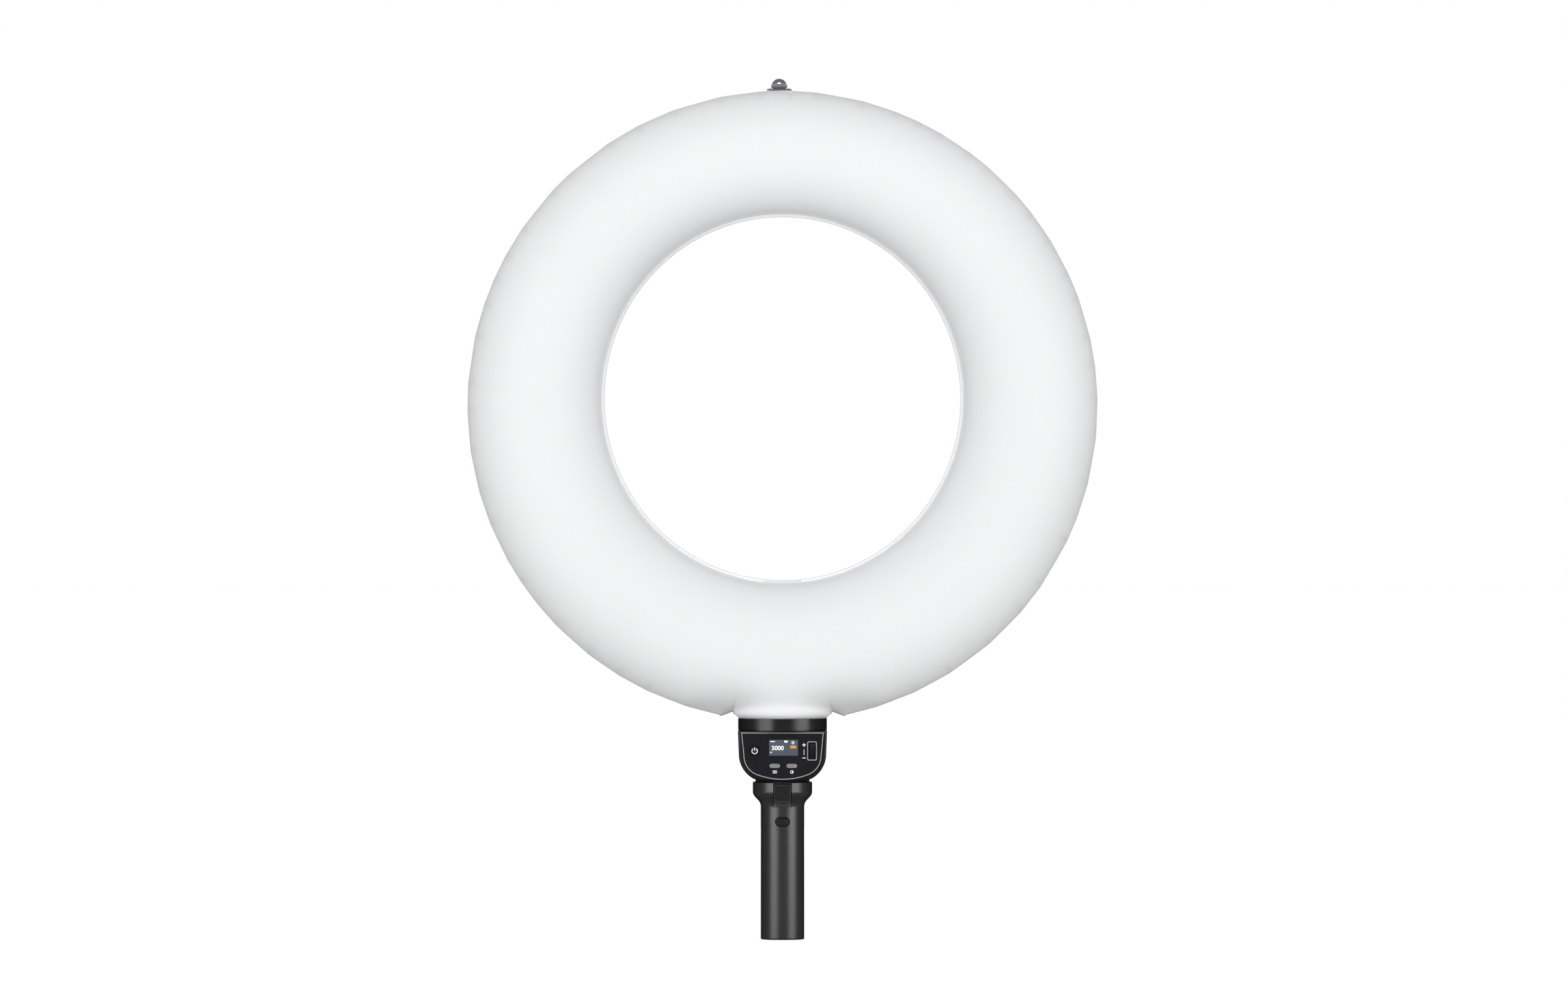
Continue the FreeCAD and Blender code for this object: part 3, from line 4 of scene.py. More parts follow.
import bmesh
import bpy
import numpy as np
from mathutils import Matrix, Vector


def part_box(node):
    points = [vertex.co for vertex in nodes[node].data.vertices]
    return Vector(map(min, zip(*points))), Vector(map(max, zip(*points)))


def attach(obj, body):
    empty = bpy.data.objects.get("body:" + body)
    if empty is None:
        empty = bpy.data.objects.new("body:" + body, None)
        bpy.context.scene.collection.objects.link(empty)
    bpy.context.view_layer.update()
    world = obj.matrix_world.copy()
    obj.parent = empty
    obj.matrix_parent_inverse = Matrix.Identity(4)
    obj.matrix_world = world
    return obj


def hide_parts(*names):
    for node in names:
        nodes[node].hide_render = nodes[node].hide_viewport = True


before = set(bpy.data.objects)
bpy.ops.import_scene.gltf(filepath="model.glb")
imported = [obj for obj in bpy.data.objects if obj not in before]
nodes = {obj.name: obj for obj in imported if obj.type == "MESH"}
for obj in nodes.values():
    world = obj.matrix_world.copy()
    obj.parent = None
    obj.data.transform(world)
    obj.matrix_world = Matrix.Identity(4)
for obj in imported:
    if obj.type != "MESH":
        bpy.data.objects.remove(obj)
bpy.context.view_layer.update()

# Heights of the middle of the hole and of the ring, the ring's outer radius and half the hole's size
MIDDLE_Z, RING_Z = 0.4286, 0.4228
RING_R = 0.2501
HOLE_WIDE, HOLE_TALL = 0.1413, 0.1441
HANGER_X = -0.0026
# Width of the flat weld round the hole, and half its thickness
FLANGE, FLANGE_HALF = 0.0029, 0.0005

# Camera: level, eight metres in front, with a long lens
CAMERA_AT = (0.0012, -8.0, 0.3534)
SENSOR_MM, LENS_MM = 36, 231.4
SIGHT_END = 60
camera_data = bpy.data.cameras.new("camera")
camera_data.sensor_width = SENSOR_MM
camera_data.lens = LENS_MM
camera_data.clip_end = SIGHT_END
camera = bpy.data.objects.new("camera", camera_data)
camera.location = CAMERA_AT
camera.rotation_euler = (math.radians(90), 0, 0)
bpy.context.scene.collection.objects.link(camera)
bpy.context.scene.camera = camera
bpy.context.scene.view_settings.view_transform = "Standard"


# Materials: a large and a fine noise change colour, gloss and relief; most noise is between 0.3 and 0.7
NOISE_LOW, NOISE_HIGH = 0.3, 0.7
PATCH_DETAIL, GRAIN_DETAIL = 3.0, 4.0
# Part of the colour's change that each of the two noises makes
NOISE_PART = 0.5
ROUGH_VARY = 0.05
BEVEL_SAMPLES = 4


def new_material(name):
    material = bpy.data.materials.new(name)
    material.use_nodes = True
    return material, material.node_tree


def noise(tree, where, scale, detail):
    """A noise texture in the frame's metres."""
    texture = tree.nodes.new("ShaderNodeTexNoise")
    texture.inputs["Scale"].default_value = scale
    texture.inputs["Detail"].default_value = detail
    tree.links.new(where, texture.inputs["Vector"])
    return texture.outputs["Fac"]


def remap(tree, value, low, high, start=NOISE_LOW, end=NOISE_HIGH):
    """A value that goes from start to end, where most noise lies, spread from low to high."""
    spreader = tree.nodes.new("ShaderNodeMapRange")
    spreader.inputs["From Min"].default_value = start
    spreader.inputs["From Max"].default_value = end
    spreader.inputs["To Min"].default_value = low
    spreader.inputs["To Max"].default_value = high
    tree.links.new(value, spreader.inputs["Value"])
    return spreader.outputs["Result"]


def added(tree, first, second):
    adder = tree.nodes.new("ShaderNodeMath")
    adder.operation = "ADD"
    tree.links.new(first, adder.inputs[0])
    tree.links.new(second, adder.inputs[1])
    return adder.outputs[0]


def blend(tree, factor, first, second):
    """From the first value to the second as the factor goes from 0 to 1."""
    mix = tree.nodes.new("ShaderNodeMix")
    for socket, given in (("Factor", factor), ("A", first), ("B", second)):
        if isinstance(given, float):
            mix.inputs[socket].default_value = given
        else:
            tree.links.new(given, mix.inputs[socket])
    return mix.outputs["Result"]


def tint(colour, factor):
    return tuple(min(part * factor, 1.0) for part in colour) + (1.0,)


def surface(
    name, colour, rough, metal=0.0, spec=0.5, vary=0.06, patch=60.0, grain=1800.0, height=0.00001, edge=None,
    rim=1.0, glow=0.0,
):
    """A principled material whose colour, gloss and fine relief vary as moulded or milled pieces do."""
    material, tree = new_material(name)
    links = tree.links
    shader = tree.nodes["Principled BSDF"]
    where = tree.nodes.new("ShaderNodeTexCoord").outputs["Object"]
    large = noise(tree, where, patch, PATCH_DETAIL)
    fine = noise(tree, where, grain, GRAIN_DETAIL)
    mix = tree.nodes.new("ShaderNodeMix")
    mix.data_type = "RGBA"
    mix.inputs["A"].default_value = tint(colour, 1 - vary)
    mix.inputs["B"].default_value = tint(colour, 1 + vary)
    both = added(tree, remap(tree, large, 0.0, NOISE_PART), remap(tree, fine, 0.0, NOISE_PART))
    links.new(both, mix.inputs["Factor"])
    links.new(mix.outputs["Result"], shader.inputs["Base Color"])
    links.new(remap(tree, large, rough - ROUGH_VARY, rough + ROUGH_VARY), shader.inputs["Roughness"])
    bump = tree.nodes.new("ShaderNodeBump")
    bump.inputs["Distance"].default_value = height
    bump.inputs["Strength"].default_value = 1.0
    links.new(fine, bump.inputs["Height"])
    if edge:
        bevel = tree.nodes.new("ShaderNodeBevel")
        bevel.samples = BEVEL_SAMPLES
        bevel.inputs["Radius"].default_value = edge
        links.new(bevel.outputs["Normal"], bump.inputs["Normal"])
    links.new(bump.outputs["Normal"], shader.inputs["Normal"])
    shader.inputs["Metallic"].default_value = metal
    shader.inputs["Specular IOR Level"].default_value = spec
    shader.inputs["Specular Tint"].default_value = (rim, rim, rim, 1.0)
    if glow:
        shader.inputs["Emission Color"].default_value = tint(colour, 1)
        shader.inputs["Emission Strength"].default_value = glow
    return material


# The film and the prints
film = surface(
    "bag_film", (0.87, 0.876, 0.882), 0.42, spec=0.3, vary=0.012, patch=9.0, grain=900.0, height=0.000008,
)
film_overlap = surface("bag_film_overlap", (0.76, 0.80, 0.85), 0.35, spec=0.4, vary=0.03, patch=200.0)
# The weld round the hole gets a lighter copy of the film's colour: painted light that stands in for light the
# film lets through from behind
film_weld_painted_light = surface("bag_film_weld_painted_light", (0.94, 0.945, 0.95), 0.4, spec=0.3, vary=0.02, patch=200.0)
inlet_rubber = surface("inlet_rubber", (0.010, 0.010, 0.010), 0.45, spec=0.3, edge=0.0002)
film_cut = surface("bag_film_cut", (0.66, 0.67, 0.68), 0.4, spec=0.3, vary=0.03, patch=200.0)
ink = surface("print_white", (0.86, 0.86, 0.86), 0.5, spec=0.2, vary=0.03, patch=900.0)
screen_ink = surface("screen_white", (0.9, 0.9, 0.9), 0.4, spec=0.2, vary=0.02, patch=900.0, glow=0.15)
screen_amber = surface("screen_amber", (0.62, 0.36, 0.05), 0.4, spec=0.2, vary=0.1, patch=900.0, glow=0.15)

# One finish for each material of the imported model
finishes = {
    "bag_film": film,
    "white_moulding": surface("white_moulding", (0.86, 0.855, 0.845), 0.38, vary=0.02, grain=1500.0),
    "clear_tube": surface("clear_tube", (0.6, 0.62, 0.63), 0.25, vary=0.05),
    "dark_rim": surface("dark_rim", (0.02, 0.02, 0.022), 0.45, spec=0.3),
    "head_shell": surface("head_shell", (0.09, 0.09, 0.093), 0.34, metal=1.0, rim=0.35, edge=0.0003),
    "band": surface("band", (0.13, 0.13, 0.133), 0.28, metal=1.0, rim=0.35, vary=0.03),
    "panel": surface("panel", (0.0145, 0.015, 0.019), 0.5, spec=0.12, grain=3000.0, height=0.000003),
    "silver": surface("silver", (0.34, 0.345, 0.355), 0.35, spec=0.8, vary=0.04, edge=0.0002),
    "screen_glass": surface("screen_glass", (0.10, 0.11, 0.14), 0.2, spec=0.3),
    "button_dark": surface("button_dark", (0.02, 0.02, 0.021), 0.4, spec=0.3),
    "button_grey": surface("button_grey", (0.26, 0.26, 0.27), 0.45, spec=0.3),
    "wheel": surface("wheel", (0.012, 0.012, 0.012), 0.45, spec=0.3),
    "handle_metal": surface(
        "handle_metal", (0.22, 0.22, 0.225), 0.32, metal=1.0, rim=0.3, vary=0.1, patch=1400.0, grain=4200.0,
        height=0.000012,
    ),
    "neck": surface("neck", (0.008, 0.008, 0.009), 0.4, spec=0.3),
    "latch": surface("latch", (0.045, 0.045, 0.046), 0.36, spec=0.5, edge=0.00035),
    "latch_rubber": surface("latch_rubber", (0.022, 0.022, 0.022), 0.45, spec=0.5, edge=0.0002),
    "inlet_metal": surface("inlet_metal", (0.16, 0.16, 0.165), 0.35, metal=0.6, edge=0.0002),
    "hanger_metal": surface(
        "hanger_metal", (0.30, 0.31, 0.325), 0.36, metal=0.7, vary=0.1, patch=400.0, edge=0.0002,
    ),
    "steel": surface("steel", (0.55, 0.55, 0.56), 0.3, metal=1.0),
    "brass": surface("brass", (0.6, 0.44, 0.2), 0.3, metal=1.0),
    "board": surface("board", (0.012, 0.07, 0.035), 0.5),
    "cell_wrap": surface("cell_wrap", (0.04, 0.10, 0.25), 0.35),
    "inner_plastic": surface("inner_plastic", (0.05, 0.05, 0.05), 0.5),
    "led": surface("led", (0.9, 0.85, 0.55), 0.3, glow=0.2),
}
# The hole's weld takes the lighter film with painted light; the inlet's surround takes its own rubber
OWN_FINISH = {"hole_flange": film_weld_painted_light, "inlet_surround": inlet_rubber}
for name, thing in nodes.items():
    slot = thing.data.materials[0].name.split(".")[0]
    for holder in thing.material_slots:
        holder.material = OWN_FINISH.get(name, finishes[slot])


# Mesh pieces
CORNER_CUTS, RING_STEPS = 5, 28
# Half the thickness of a printed mark
MARK = 0.00004
# The corners of a rectangle, in order
SQUARE = ((-1, -1), (1, -1), (1, 1), (-1, 1))


def smooth(low, high, value):
    """0 below low, 1 above high and an eased way between them."""
    part = min(max((value - low) / (high - low), 0.0), 1.0)
    return part * part * (3 - 2 * part)


def add_piece(name, points, faces, body, material, stands_for=(), shade=True):
    """One mesh piece that rides on a body; its points are in metres in the frame."""
    mesh = bpy.data.meshes.new(name)
    mesh.from_pydata([tuple(point) for point in points], [], faces)
    mesh.validate()
    work = bmesh.new()
    work.from_mesh(mesh)
    bmesh.ops.recalc_face_normals(work, faces=work.faces)
    work.to_mesh(mesh)
    work.free()
    if shade:
        mesh.shade_smooth()
    thing = bpy.data.objects.new(name, mesh)
    mesh.materials.append(material)
    bpy.context.scene.collection.objects.link(thing)
    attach(thing, body)
    if stands_for:
        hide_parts(*stands_for)
    return thing


def thicken(thing, thick):
    """Gives a sheet its thickness, inwards."""
    modifier = thing.modifiers.new("thickness", "SOLIDIFY")
    modifier.thickness = thick
    modifier.offset = -1


def grid_faces(rows, columns, closed):
    """Quads of a grid of rows by columns; closed joins the last row to the first."""
    faces = []
    for row in range(rows if closed else rows - 1):
        ahead = (row + 1) % rows
        for column in range(columns - 1):
            here, there = row * columns + column, ahead * columns + column
            faces.append((here, here + 1, there + 1, there))
    return faces


def marks(name, outlines, material, front, body="head"):
    """Printed marks, each an outline of (x, z), that stand a hair off the face at front and reach into it."""
    points, faces = [], []
    for outline in outlines:
        start, count = len(points), len(outline)
        points += [(x, front - MARK, z) for x, z in outline]
        points += [(x, front + MARK, z) for x, z in outline]
        faces.append(tuple(range(start, start + count)))
        faces.append(tuple(range(start + 2 * count - 1, start + count - 1, -1)))
        for number in range(count):
            ahead = (number + 1) % count
            faces.append((start + number, start + ahead, start + count + ahead, start + count + number))
    return add_piece(name, points, faces, body, material, shade=False)


def arc_points(x, z, radius, start, end, steps):
    """Points along an arc; angles in degrees, from the right and upwards."""
    angles = [math.radians(start + (end - start) * number / steps) for number in range(steps + 1)]
    return [(x + radius * math.cos(angle), z + radius * math.sin(angle)) for angle in angles]


def ring_outline(x, z, outer, inner, start, end):
    return arc_points(x, z, outer, start, end, RING_STEPS) + arc_points(x, z, inner, end, start, RING_STEPS)


def bar(x, z, wide, tall, corner=0.0):
    """Outline of an upright or lying bar with rounded corners."""
    half_w, half_t = wide / 2 - corner, tall / 2 - corner
    if not corner:
        return [(x + side_x * half_w, z + side_z * half_t) for side_x, side_z in SQUARE]
    outline = []
    for side_x, side_z, start in ((1, 1, 0), (-1, 1, 90), (-1, -1, 180), (1, -1, 270)):
        outline += arc_points(x + side_x * half_w, z + side_z * half_t, corner, start, start + 90, CORNER_CUTS)
    return outline


def cross(x, z, reach, half):
    """Outline of a plus sign."""
    corners = [(half, reach), (half, half), (reach, half), (reach, -half), (half, -half), (half, -reach)]
    corners += [(-across, -up) for across, up in corners]
    return [(x + across, z + up) for across, up in corners]


# Bag film: the outer weld follows many short, nearly straight runs between small puckers
RUN_LEAST, RUN_MOST, RUN_LAST = 0.075, 0.165, 0.06
TURN_SLACK = 1e-9
# How flat a run is: at 1 it would be a straight chord of the ring
RUN_FLAT = 0.8
# How far a pucker draws the film in beside the weld, half its width, and where along the strip it starts
TUCK_DEEP, TUCK_HALF = 0.006, 0.0022
TUCK_START, TUCK_FULL = 0.6, 0.9
ROUND_STEPS = 720
INNER_STEPS, OUTER_STEPS = 20, 32
# Half the depth of the bag, how much further its foot comes forward, and the film's thickness
DEEP, FORWARD = 0.049, 0.002
FILM_THICK = 0.0004
# Where the film leaves the weld round the hole: outwards from the weld's edge, and up from its middle
FILLET = [(-0.0007, 0.0006), (-0.0004, 0.0009), (-0.0001, 0.0018)]
# Handles this long make a cubic curve follow a quarter of an ellipse
BOW = 0.5523
# Lip of the collar: its radius, and its height at the side and in front
CUFF_R, CUFF_SIDE, CUFF_FRONT = 0.0396, 0.1803, 0.1813
# Where the outer weld meets the collar, and the share of that reach whose strips end on the lip
CORNER_X, CORNER_Z = 0.0488, 0.1768
ON_CUFF = 0.76
# Across from the middle: the foot is fullest up to the first, and the film is faired up to the second
NEAR, FAR = 0.015, 0.085
# Radius and height of the film where it goes down over the lip, and the azimuths between which it stops
LIP = [
    (0.0396, 0.1806), (0.0395, 0.1793), (0.0391, 0.1783), (0.0384, 0.1775), (0.0376, 0.1768), (0.0367, 0.1762),
    (0.0359, 0.1757),
]
LIP_FADE, LIP_FADE_START, LIP_FADE_END = 0.95, 72, 88
COLLAR_STEPS = OUTER_STEPS - len(LIP)
FILM_STEPS = len(FILLET) + INNER_STEPS + OUTER_STEPS
FAIR_STEPS, FAIR_ENOUGH = 4000, 1e-20
# The two folds below the hanger: their depth, half width and place, and the heights between which they grow
FOLD_DEEP, FOLD_HALF, FOLD_X = 0.0006, 0.006, 0.013
FOLD_FOOT, FOLD_TOP = 0.60, 0.655

random.seed(7)
puckers = []
turn_now = 0.0
while turn_now < 2 * math.pi - RUN_LAST:
    puckers.append(turn_now)
    turn_now += random.uniform(RUN_LEAST, RUN_MOST)


def outwards(turn):
    """From the middle of the hole towards the outside, at a turn from the right and upwards."""
    return Vector((math.cos(turn), 0, math.sin(turn)))


def weld_run(turn):
    """Distance to the nearest pucker along the rim, and the length of the run it is on, in metres."""
    ends = puckers + [2 * math.pi]
    number = max(i for i, start in enumerate(puckers) if start <= turn + TURN_SLACK)
    low, high = ends[number], ends[number + 1]
    return min(turn - low, high - turn) * RING_R, (high - low) * RING_R


def hole_edge(turn):
    """Distance from the middle of the hole to its edge."""
    return 1 / math.hypot(math.cos(turn) / HOLE_WIDE, math.sin(turn) / HOLE_TALL)


def rim_edge(turn):
    """Distance from the middle of the hole to the outer weld."""
    raised = (MIDDLE_Z - RING_Z) * math.sin(turn)
    away = math.sqrt(raised**2 - (MIDDLE_Z - RING_Z) ** 2 + RING_R**2) - raised
    near, run = weld_run(turn)
    flat = near * (run - near) / (2 * RING_R)
    return away - flat * RUN_FLAT


def strip_end(x):
    """Where a strip ends whose weld would lie at x on the ring's bottom: on the collar or beside it."""
    side, share = math.copysign(1, x), abs(x) / CORNER_X
    if share >= ON_CUFF:
        part = (share - ON_CUFF) / (1 - ON_CUFF)
        across, up = CUFF_R + (CORNER_X - CUFF_R) * part, CUFF_SIDE + (CORNER_Z - CUFF_SIDE) * part
        return Vector((side * across, 0, up))
    azimuth = share / ON_CUFF * math.pi / 2
    up = CUFF_SIDE + (CUFF_FRONT - CUFF_SIDE) * math.cos(azimuth)
    return Vector((side * CUFF_R * math.sin(azimuth), CUFF_R * math.cos(azimuth), up))


def bowed(points, t):
    """A point of the cubic curve through the first and last of four control points."""
    weights = ((1 - t) ** 3, 3 * t * (1 - t) ** 2, 3 * t * t * (1 - t), t**3)
    return sum((point * weight for point, weight in zip(points, weights)), Vector())


def over_lip(last):
    """The end of the film that goes down the collar's wall and tucks in under its lip, in front and behind."""
    azimuth = math.degrees(math.atan2(abs(last.x), last.y))
    share = 1 - LIP_FADE * smooth(LIP_FADE_START, LIP_FADE_END, azimuth)
    points = []
    for radius, z in LIP:
        reach = 1 + (radius / CUFF_R - 1) * share
        points.append(Vector((last.x * reach, last.y * reach, last.z + (z - last.z) * share)))
    return points


def pull_folds(point):
    """Depth of the two shallow folds that run down from the hanger."""
    if point.z < FOLD_FOOT:
        return 0.0
    near = abs(abs(point.x - HANGER_X) - FOLD_X) / FOLD_HALF
    return FOLD_DEEP * math.exp(-(near**2)) * smooth(FOLD_FOOT, FOLD_TOP, point.z)


def bend_of(grid):
    """How far each inner point of a grid lies from the mean of its four neighbours, four times over."""
    return 4 * grid[1:-1, 1:-1] - grid[:-2, 1:-1] - grid[2:, 1:-1] - grid[1:-1, :-2] - grid[1:-1, 2:]


def push_of(bend, free):
    """The push that the bends of a grid put on its free points."""
    push = np.zeros(free.shape)
    push[1:-1, 1:-1] += 4 * bend
    push[:-2, 1:-1] -= bend
    push[2:, 1:-1] -= bend
    push[1:-1, :-2] -= bend
    push[1:-1, 2:] -= bend
    return push * free


def faired(rows):
    """The same grid of points, with all but its edges laid as smoothly as a thin plate lies."""
    grid = np.array(rows)
    free = np.zeros(grid.shape)
    free[2:-2, 2:-1] = 1
    rest = -push_of(bend_of(grid), free)
    way, power = rest.copy(), (rest**2).sum()
    for _ in range(FAIR_STEPS):
        push = push_of(bend_of(way), free)
        reach = power / (way * push).sum()
        grid += way * reach
        rest -= push * reach
        left = (rest**2).sum()
        if left < FAIR_ENOUGH:
            break
        way = rest + way * (left / power)
        power = left
    return [[Vector(point) for point in row] for row in grid]


def spread(points, count):
    """The same line of points, cut into count steps."""
    line = []
    for number in range(count + 1):
        place = number / count * (len(points) - 1)
        index = min(int(place), len(points) - 2)
        line.append(points[index].lerp(points[index + 1], place - index))
    return line


def film_strips():
    """For each turn round the hole, the inner half and the outer half of a strip of the film."""
    inner, outer, welds = [], [], []
    middle_point = Vector((0, 0, MIDDLE_Z))
    for step in range(ROUND_STEPS):
        turn = 2 * math.pi * step / ROUND_STEPS
        out = outwards(turn)
        low, high = hole_edge(turn) + FLANGE, rim_edge(turn)
        middle, half = (low + high) / 2, (high - low) / 2
        crest, weld = middle_point + out * middle, middle_point + out * high
        at_bottom = weld.z < RING_Z
        deep = DEEP + FORWARD * (1 - smooth(NEAR, FAR, abs(weld.x))) if at_bottom else DEEP
        end = strip_end(weld.x) if at_bottom and abs(weld.x) < CORNER_X else weld
        strip = [middle_point + out * (low + away) + Vector((0, up, 0)) for away, up in FILLET]
        for number in range(1, INNER_STEPS):
            angle = math.pi / 2 * number / INNER_STEPS
            point = crest - out * (half * math.cos(angle))
            point.y = deep * math.sin(angle)
            strip.append(point)
        inner.append(strip)
        first, second = crest.lerp(weld, BOW), weld.copy()
        crest.y = first.y = deep
        second.y = deep * BOW
        near = weld_run(turn)[0]
        strip = []
        for number in range(COLLAR_STEPS + 1):
            part = number / COLLAR_STEPS
            point = bowed((crest, first, second, end), part)
            tuck = math.exp(-((near / TUCK_HALF) ** 2)) * smooth(TUCK_START, TUCK_FULL, part)
            point -= out * (tuck * math.cos(math.pi / 2 * part) * TUCK_DEEP)
            point.y -= pull_folds(point)
            strip.append(point)
        outer.append(strip)
        welds.append(weld)
    foot = [step for step, weld in enumerate(welds) if weld.z < RING_Z and abs(weld.x) < FAR]
    for step, strip in zip(foot, faired([outer[step] for step in foot])):
        outer[step] = strip
    return inner, outer


FILM_STRIPS = film_strips()


def film_points(side):
    """Points of the front (side -1) or rear (side 1) film from the weld round the hole to the outer weld."""
    points = []
    for inner, outer in zip(*FILM_STRIPS):
        on_collar = outer[-1].y > 0
        outer = outer + over_lip(outer[-1]) if on_collar else spread(outer, OUTER_STEPS)
        points += [Vector((point.x, point.y * side, point.z)) for point in inner + outer]
    return points


def film_sheet(name, side, stands_for):
    faces = grid_faces(ROUND_STEPS, FILM_STEPS, True)
    thicken(add_piece(name, film_points(side), faces, "head", film, (stands_for,)), FILM_THICK)


# Soft patch under the hanger: its edges are sunk in the film and drawn in between the corners
PATCH_ACROSS, PATCH_DEEP = 28, 16
PATCH_SUNK, PATCH_THICK = 0.0009, 0.0005
CORNER_PULL = 0.08
TUBE_HALF = 0.0535


def crown_at(x):
    """Height of the outer weld at x on the top of the ring."""
    turn = math.atan2(math.sqrt(RING_R**2 - x * x) + RING_Z - MIDDLE_Z, x)
    return MIDDLE_Z + rim_edge(turn) * math.sin(turn)


def patch_points():
    """The patch, laid over the top of the bag; rows run across it."""
    low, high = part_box("hanger_patch")
    middle_x, half_x, half_y = (low[0] + high[0]) / 2, (high[0] - low[0]) / 2, (high[1] - low[1]) / 2
    lift = high[2] - crown_at(middle_x) + PATCH_SUNK
    points = []
    for row in range(PATCH_ACROSS + 1):
        for column in range(PATCH_DEEP + 1):
            u, v = 2 * row / PATCH_ACROSS - 1, 2 * column / PATCH_DEEP - 1
            x, y = middle_x + half_x * u * (1 - CORNER_PULL * v**4), half_y * v * (1 - CORNER_PULL * u**4)
            fall = TUBE_HALF * (1 - math.sqrt(1 - (y / DEEP) ** 2))
            points.append((x, y, crown_at(x) - fall - PATCH_SUNK + lift * (1 - u**4) * (1 - v**4)))
    return points


patch_faces = grid_faces(PATCH_ACROSS + 1, PATCH_DEEP + 1, False)
soft_patch = add_piece("soft_patch", patch_points(), patch_faces, "head", film, ("hanger_patch",))
thicken(soft_patch, PATCH_THICK)
film_sheet("film_front", -1, "bag_front_skin")
film_sheet("film_rear", 1, "bag_rear_skin")


# Weld round the hole: its cut edge, and the place at the bottom where its two ends lap
EDGE_LOW, EDGE_HIGH, EDGE_STEPS, EDGE_PROUD = -0.0001, 0.0003, 360, 0.00012
LAP_LOW, LAP_HIGH, LAP_STEPS, LAP_PROUD = 0.0002, 0.0034, 24, 0.00015
LAP_START, LAP_END = 264, 276


def hole_band(name, low, high, start, end, steps, proud, material):
    """A flat band round the hole, from low to high outside its edge, between two angles."""
    closed = end - start >= 360
    rows = steps if closed else steps + 1
    half = FLANGE_HALF + proud
    section = ((low, -half), (high, -half), (high, half), (low, half), (low, -half))
    points = []
    for step in range(rows):
        turn = math.radians(start + (end - start) * step / steps)
        for away, y in section:
            points.append(Vector((0, y, MIDDLE_Z)) + outwards(turn) * (hole_edge(turn) + away))
    faces = grid_faces(rows, len(section), closed)
    add_piece(name, points, faces, "head", material, shade=False)


hole_band("flange_edge", EDGE_LOW, EDGE_HIGH, 0, 360, EDGE_STEPS, EDGE_PROUD, film_cut)
hole_band("flange_overlap", LAP_LOW, LAP_HIGH, LAP_START, LAP_END, LAP_STEPS, LAP_PROUD, film_overlap)


# Marks on the panel, placed from the controls that they belong to
def spot(node):
    """Centre of a node across and up, and the place of its front face."""
    low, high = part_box(node)
    return (low[0] + high[0]) / 2, (low[2] + high[2]) / 2, low[1]


POWER_OUTER, POWER_INNER = 0.00250, 0.00180
POWER_START, POWER_END = -235, 55
POWER_UP, POWER_WIDE, POWER_TALL, POWER_CORNER = 0.0015, 0.00075, 0.0026, 0.0002
power_x, power_z, power_front = spot("power_button")
marks(
    "power_mark",
    [
        ring_outline(power_x, power_z, POWER_OUTER, POWER_INNER, POWER_START, POWER_END),
        bar(power_x, power_z + POWER_UP, POWER_WIDE, POWER_TALL, POWER_CORNER),
    ],
    ink, power_front, body="power_key",
)

SCALE_AWAY = 0.0063
PLUS_UP, PLUS_REACH, PLUS_HALF = 0.0047, 0.0013, 0.0004
SCALE_DOWN, SCALE_WIDE, SCALE_TALL = 0.0009, 0.00045, 0.0045
MINUS_DOWN, MINUS_WIDE, MINUS_TALL = 0.0055, 0.0026, 0.0007
panel_front = spot("control_panel")[2]
scale_x = spot("dial_frame")[0] - SCALE_AWAY
scale_z = spot("dial_frame")[1]
marks("plus_mark", [cross(scale_x, scale_z + PLUS_UP, PLUS_REACH, PLUS_HALF)], ink, panel_front)
marks("scale_mark", [bar(scale_x, scale_z - SCALE_DOWN, SCALE_WIDE, SCALE_TALL)], ink, panel_front)
marks("minus_mark", [bar(scale_x, scale_z - MINUS_DOWN, MINUS_WIDE, MINUS_TALL)], ink, panel_front)

SIGN_DOWN = 0.0048
MENU_STEP, MENU_WIDE, MENU_TALL = 0.0009, 0.0034, 0.00045
MODE_OUTER, MODE_INNER, MODE_DISC, MODE_STEPS = 0.00140, 0.00100, 0.00085, 14
menu_x, pill_z, _ = spot("menu_button")
mode_x = spot("mode_button")[0]
sign_z = pill_z - SIGN_DOWN
menu_bars = [bar(menu_x, sign_z + step * MENU_STEP, MENU_WIDE, MENU_TALL) for step in (-1, 0, 1)]
marks("menu_mark", menu_bars, ink, panel_front)
marks(
    "mode_mark",
    [
        ring_outline(mode_x, sign_z, MODE_OUTER, MODE_INNER, 0, 359),
        arc_points(mode_x, sign_z, MODE_DISC, -90, 90, MODE_STEPS),
    ],
    ink, panel_front,
)

# Signs on the display. Places are from its middle; bars also have their width, height and corner.
NUMBER_TALL, NUMBER_BOLD = 0.0048, 0.03
NUMBER_X, NUMBER_Z = -0.0094, -0.0018
TAG_X, TAG_Z, TAG_SIZE = -0.0086, 0.0049, (0.0036, 0.0008)
CELL_X, CELL_Z, CELL_SIZE = 0.0019, 0.0049, (0.0029, 0.0017, 0.0007)
SUN_X, SUN_Z, SUN_R, SUN_STEPS = 0.0075, 0.0040, 0.0008, 22
RAYS, RAY_AWAY, RAY_SIZE = 8, 0.0014, 0.0004
LEVEL_X, LEVEL_Z, LEVEL_SIZE = 0.0077, 0.0006, (0.0048, 0.0022, 0.0005)
DROP_X, DROP_Z, DROP_R, DROP_STEPS = -0.0099, -0.0037, 0.0006, 16
DISC_END = 345
screen_x, screen_z, screen_front = spot("display_window")


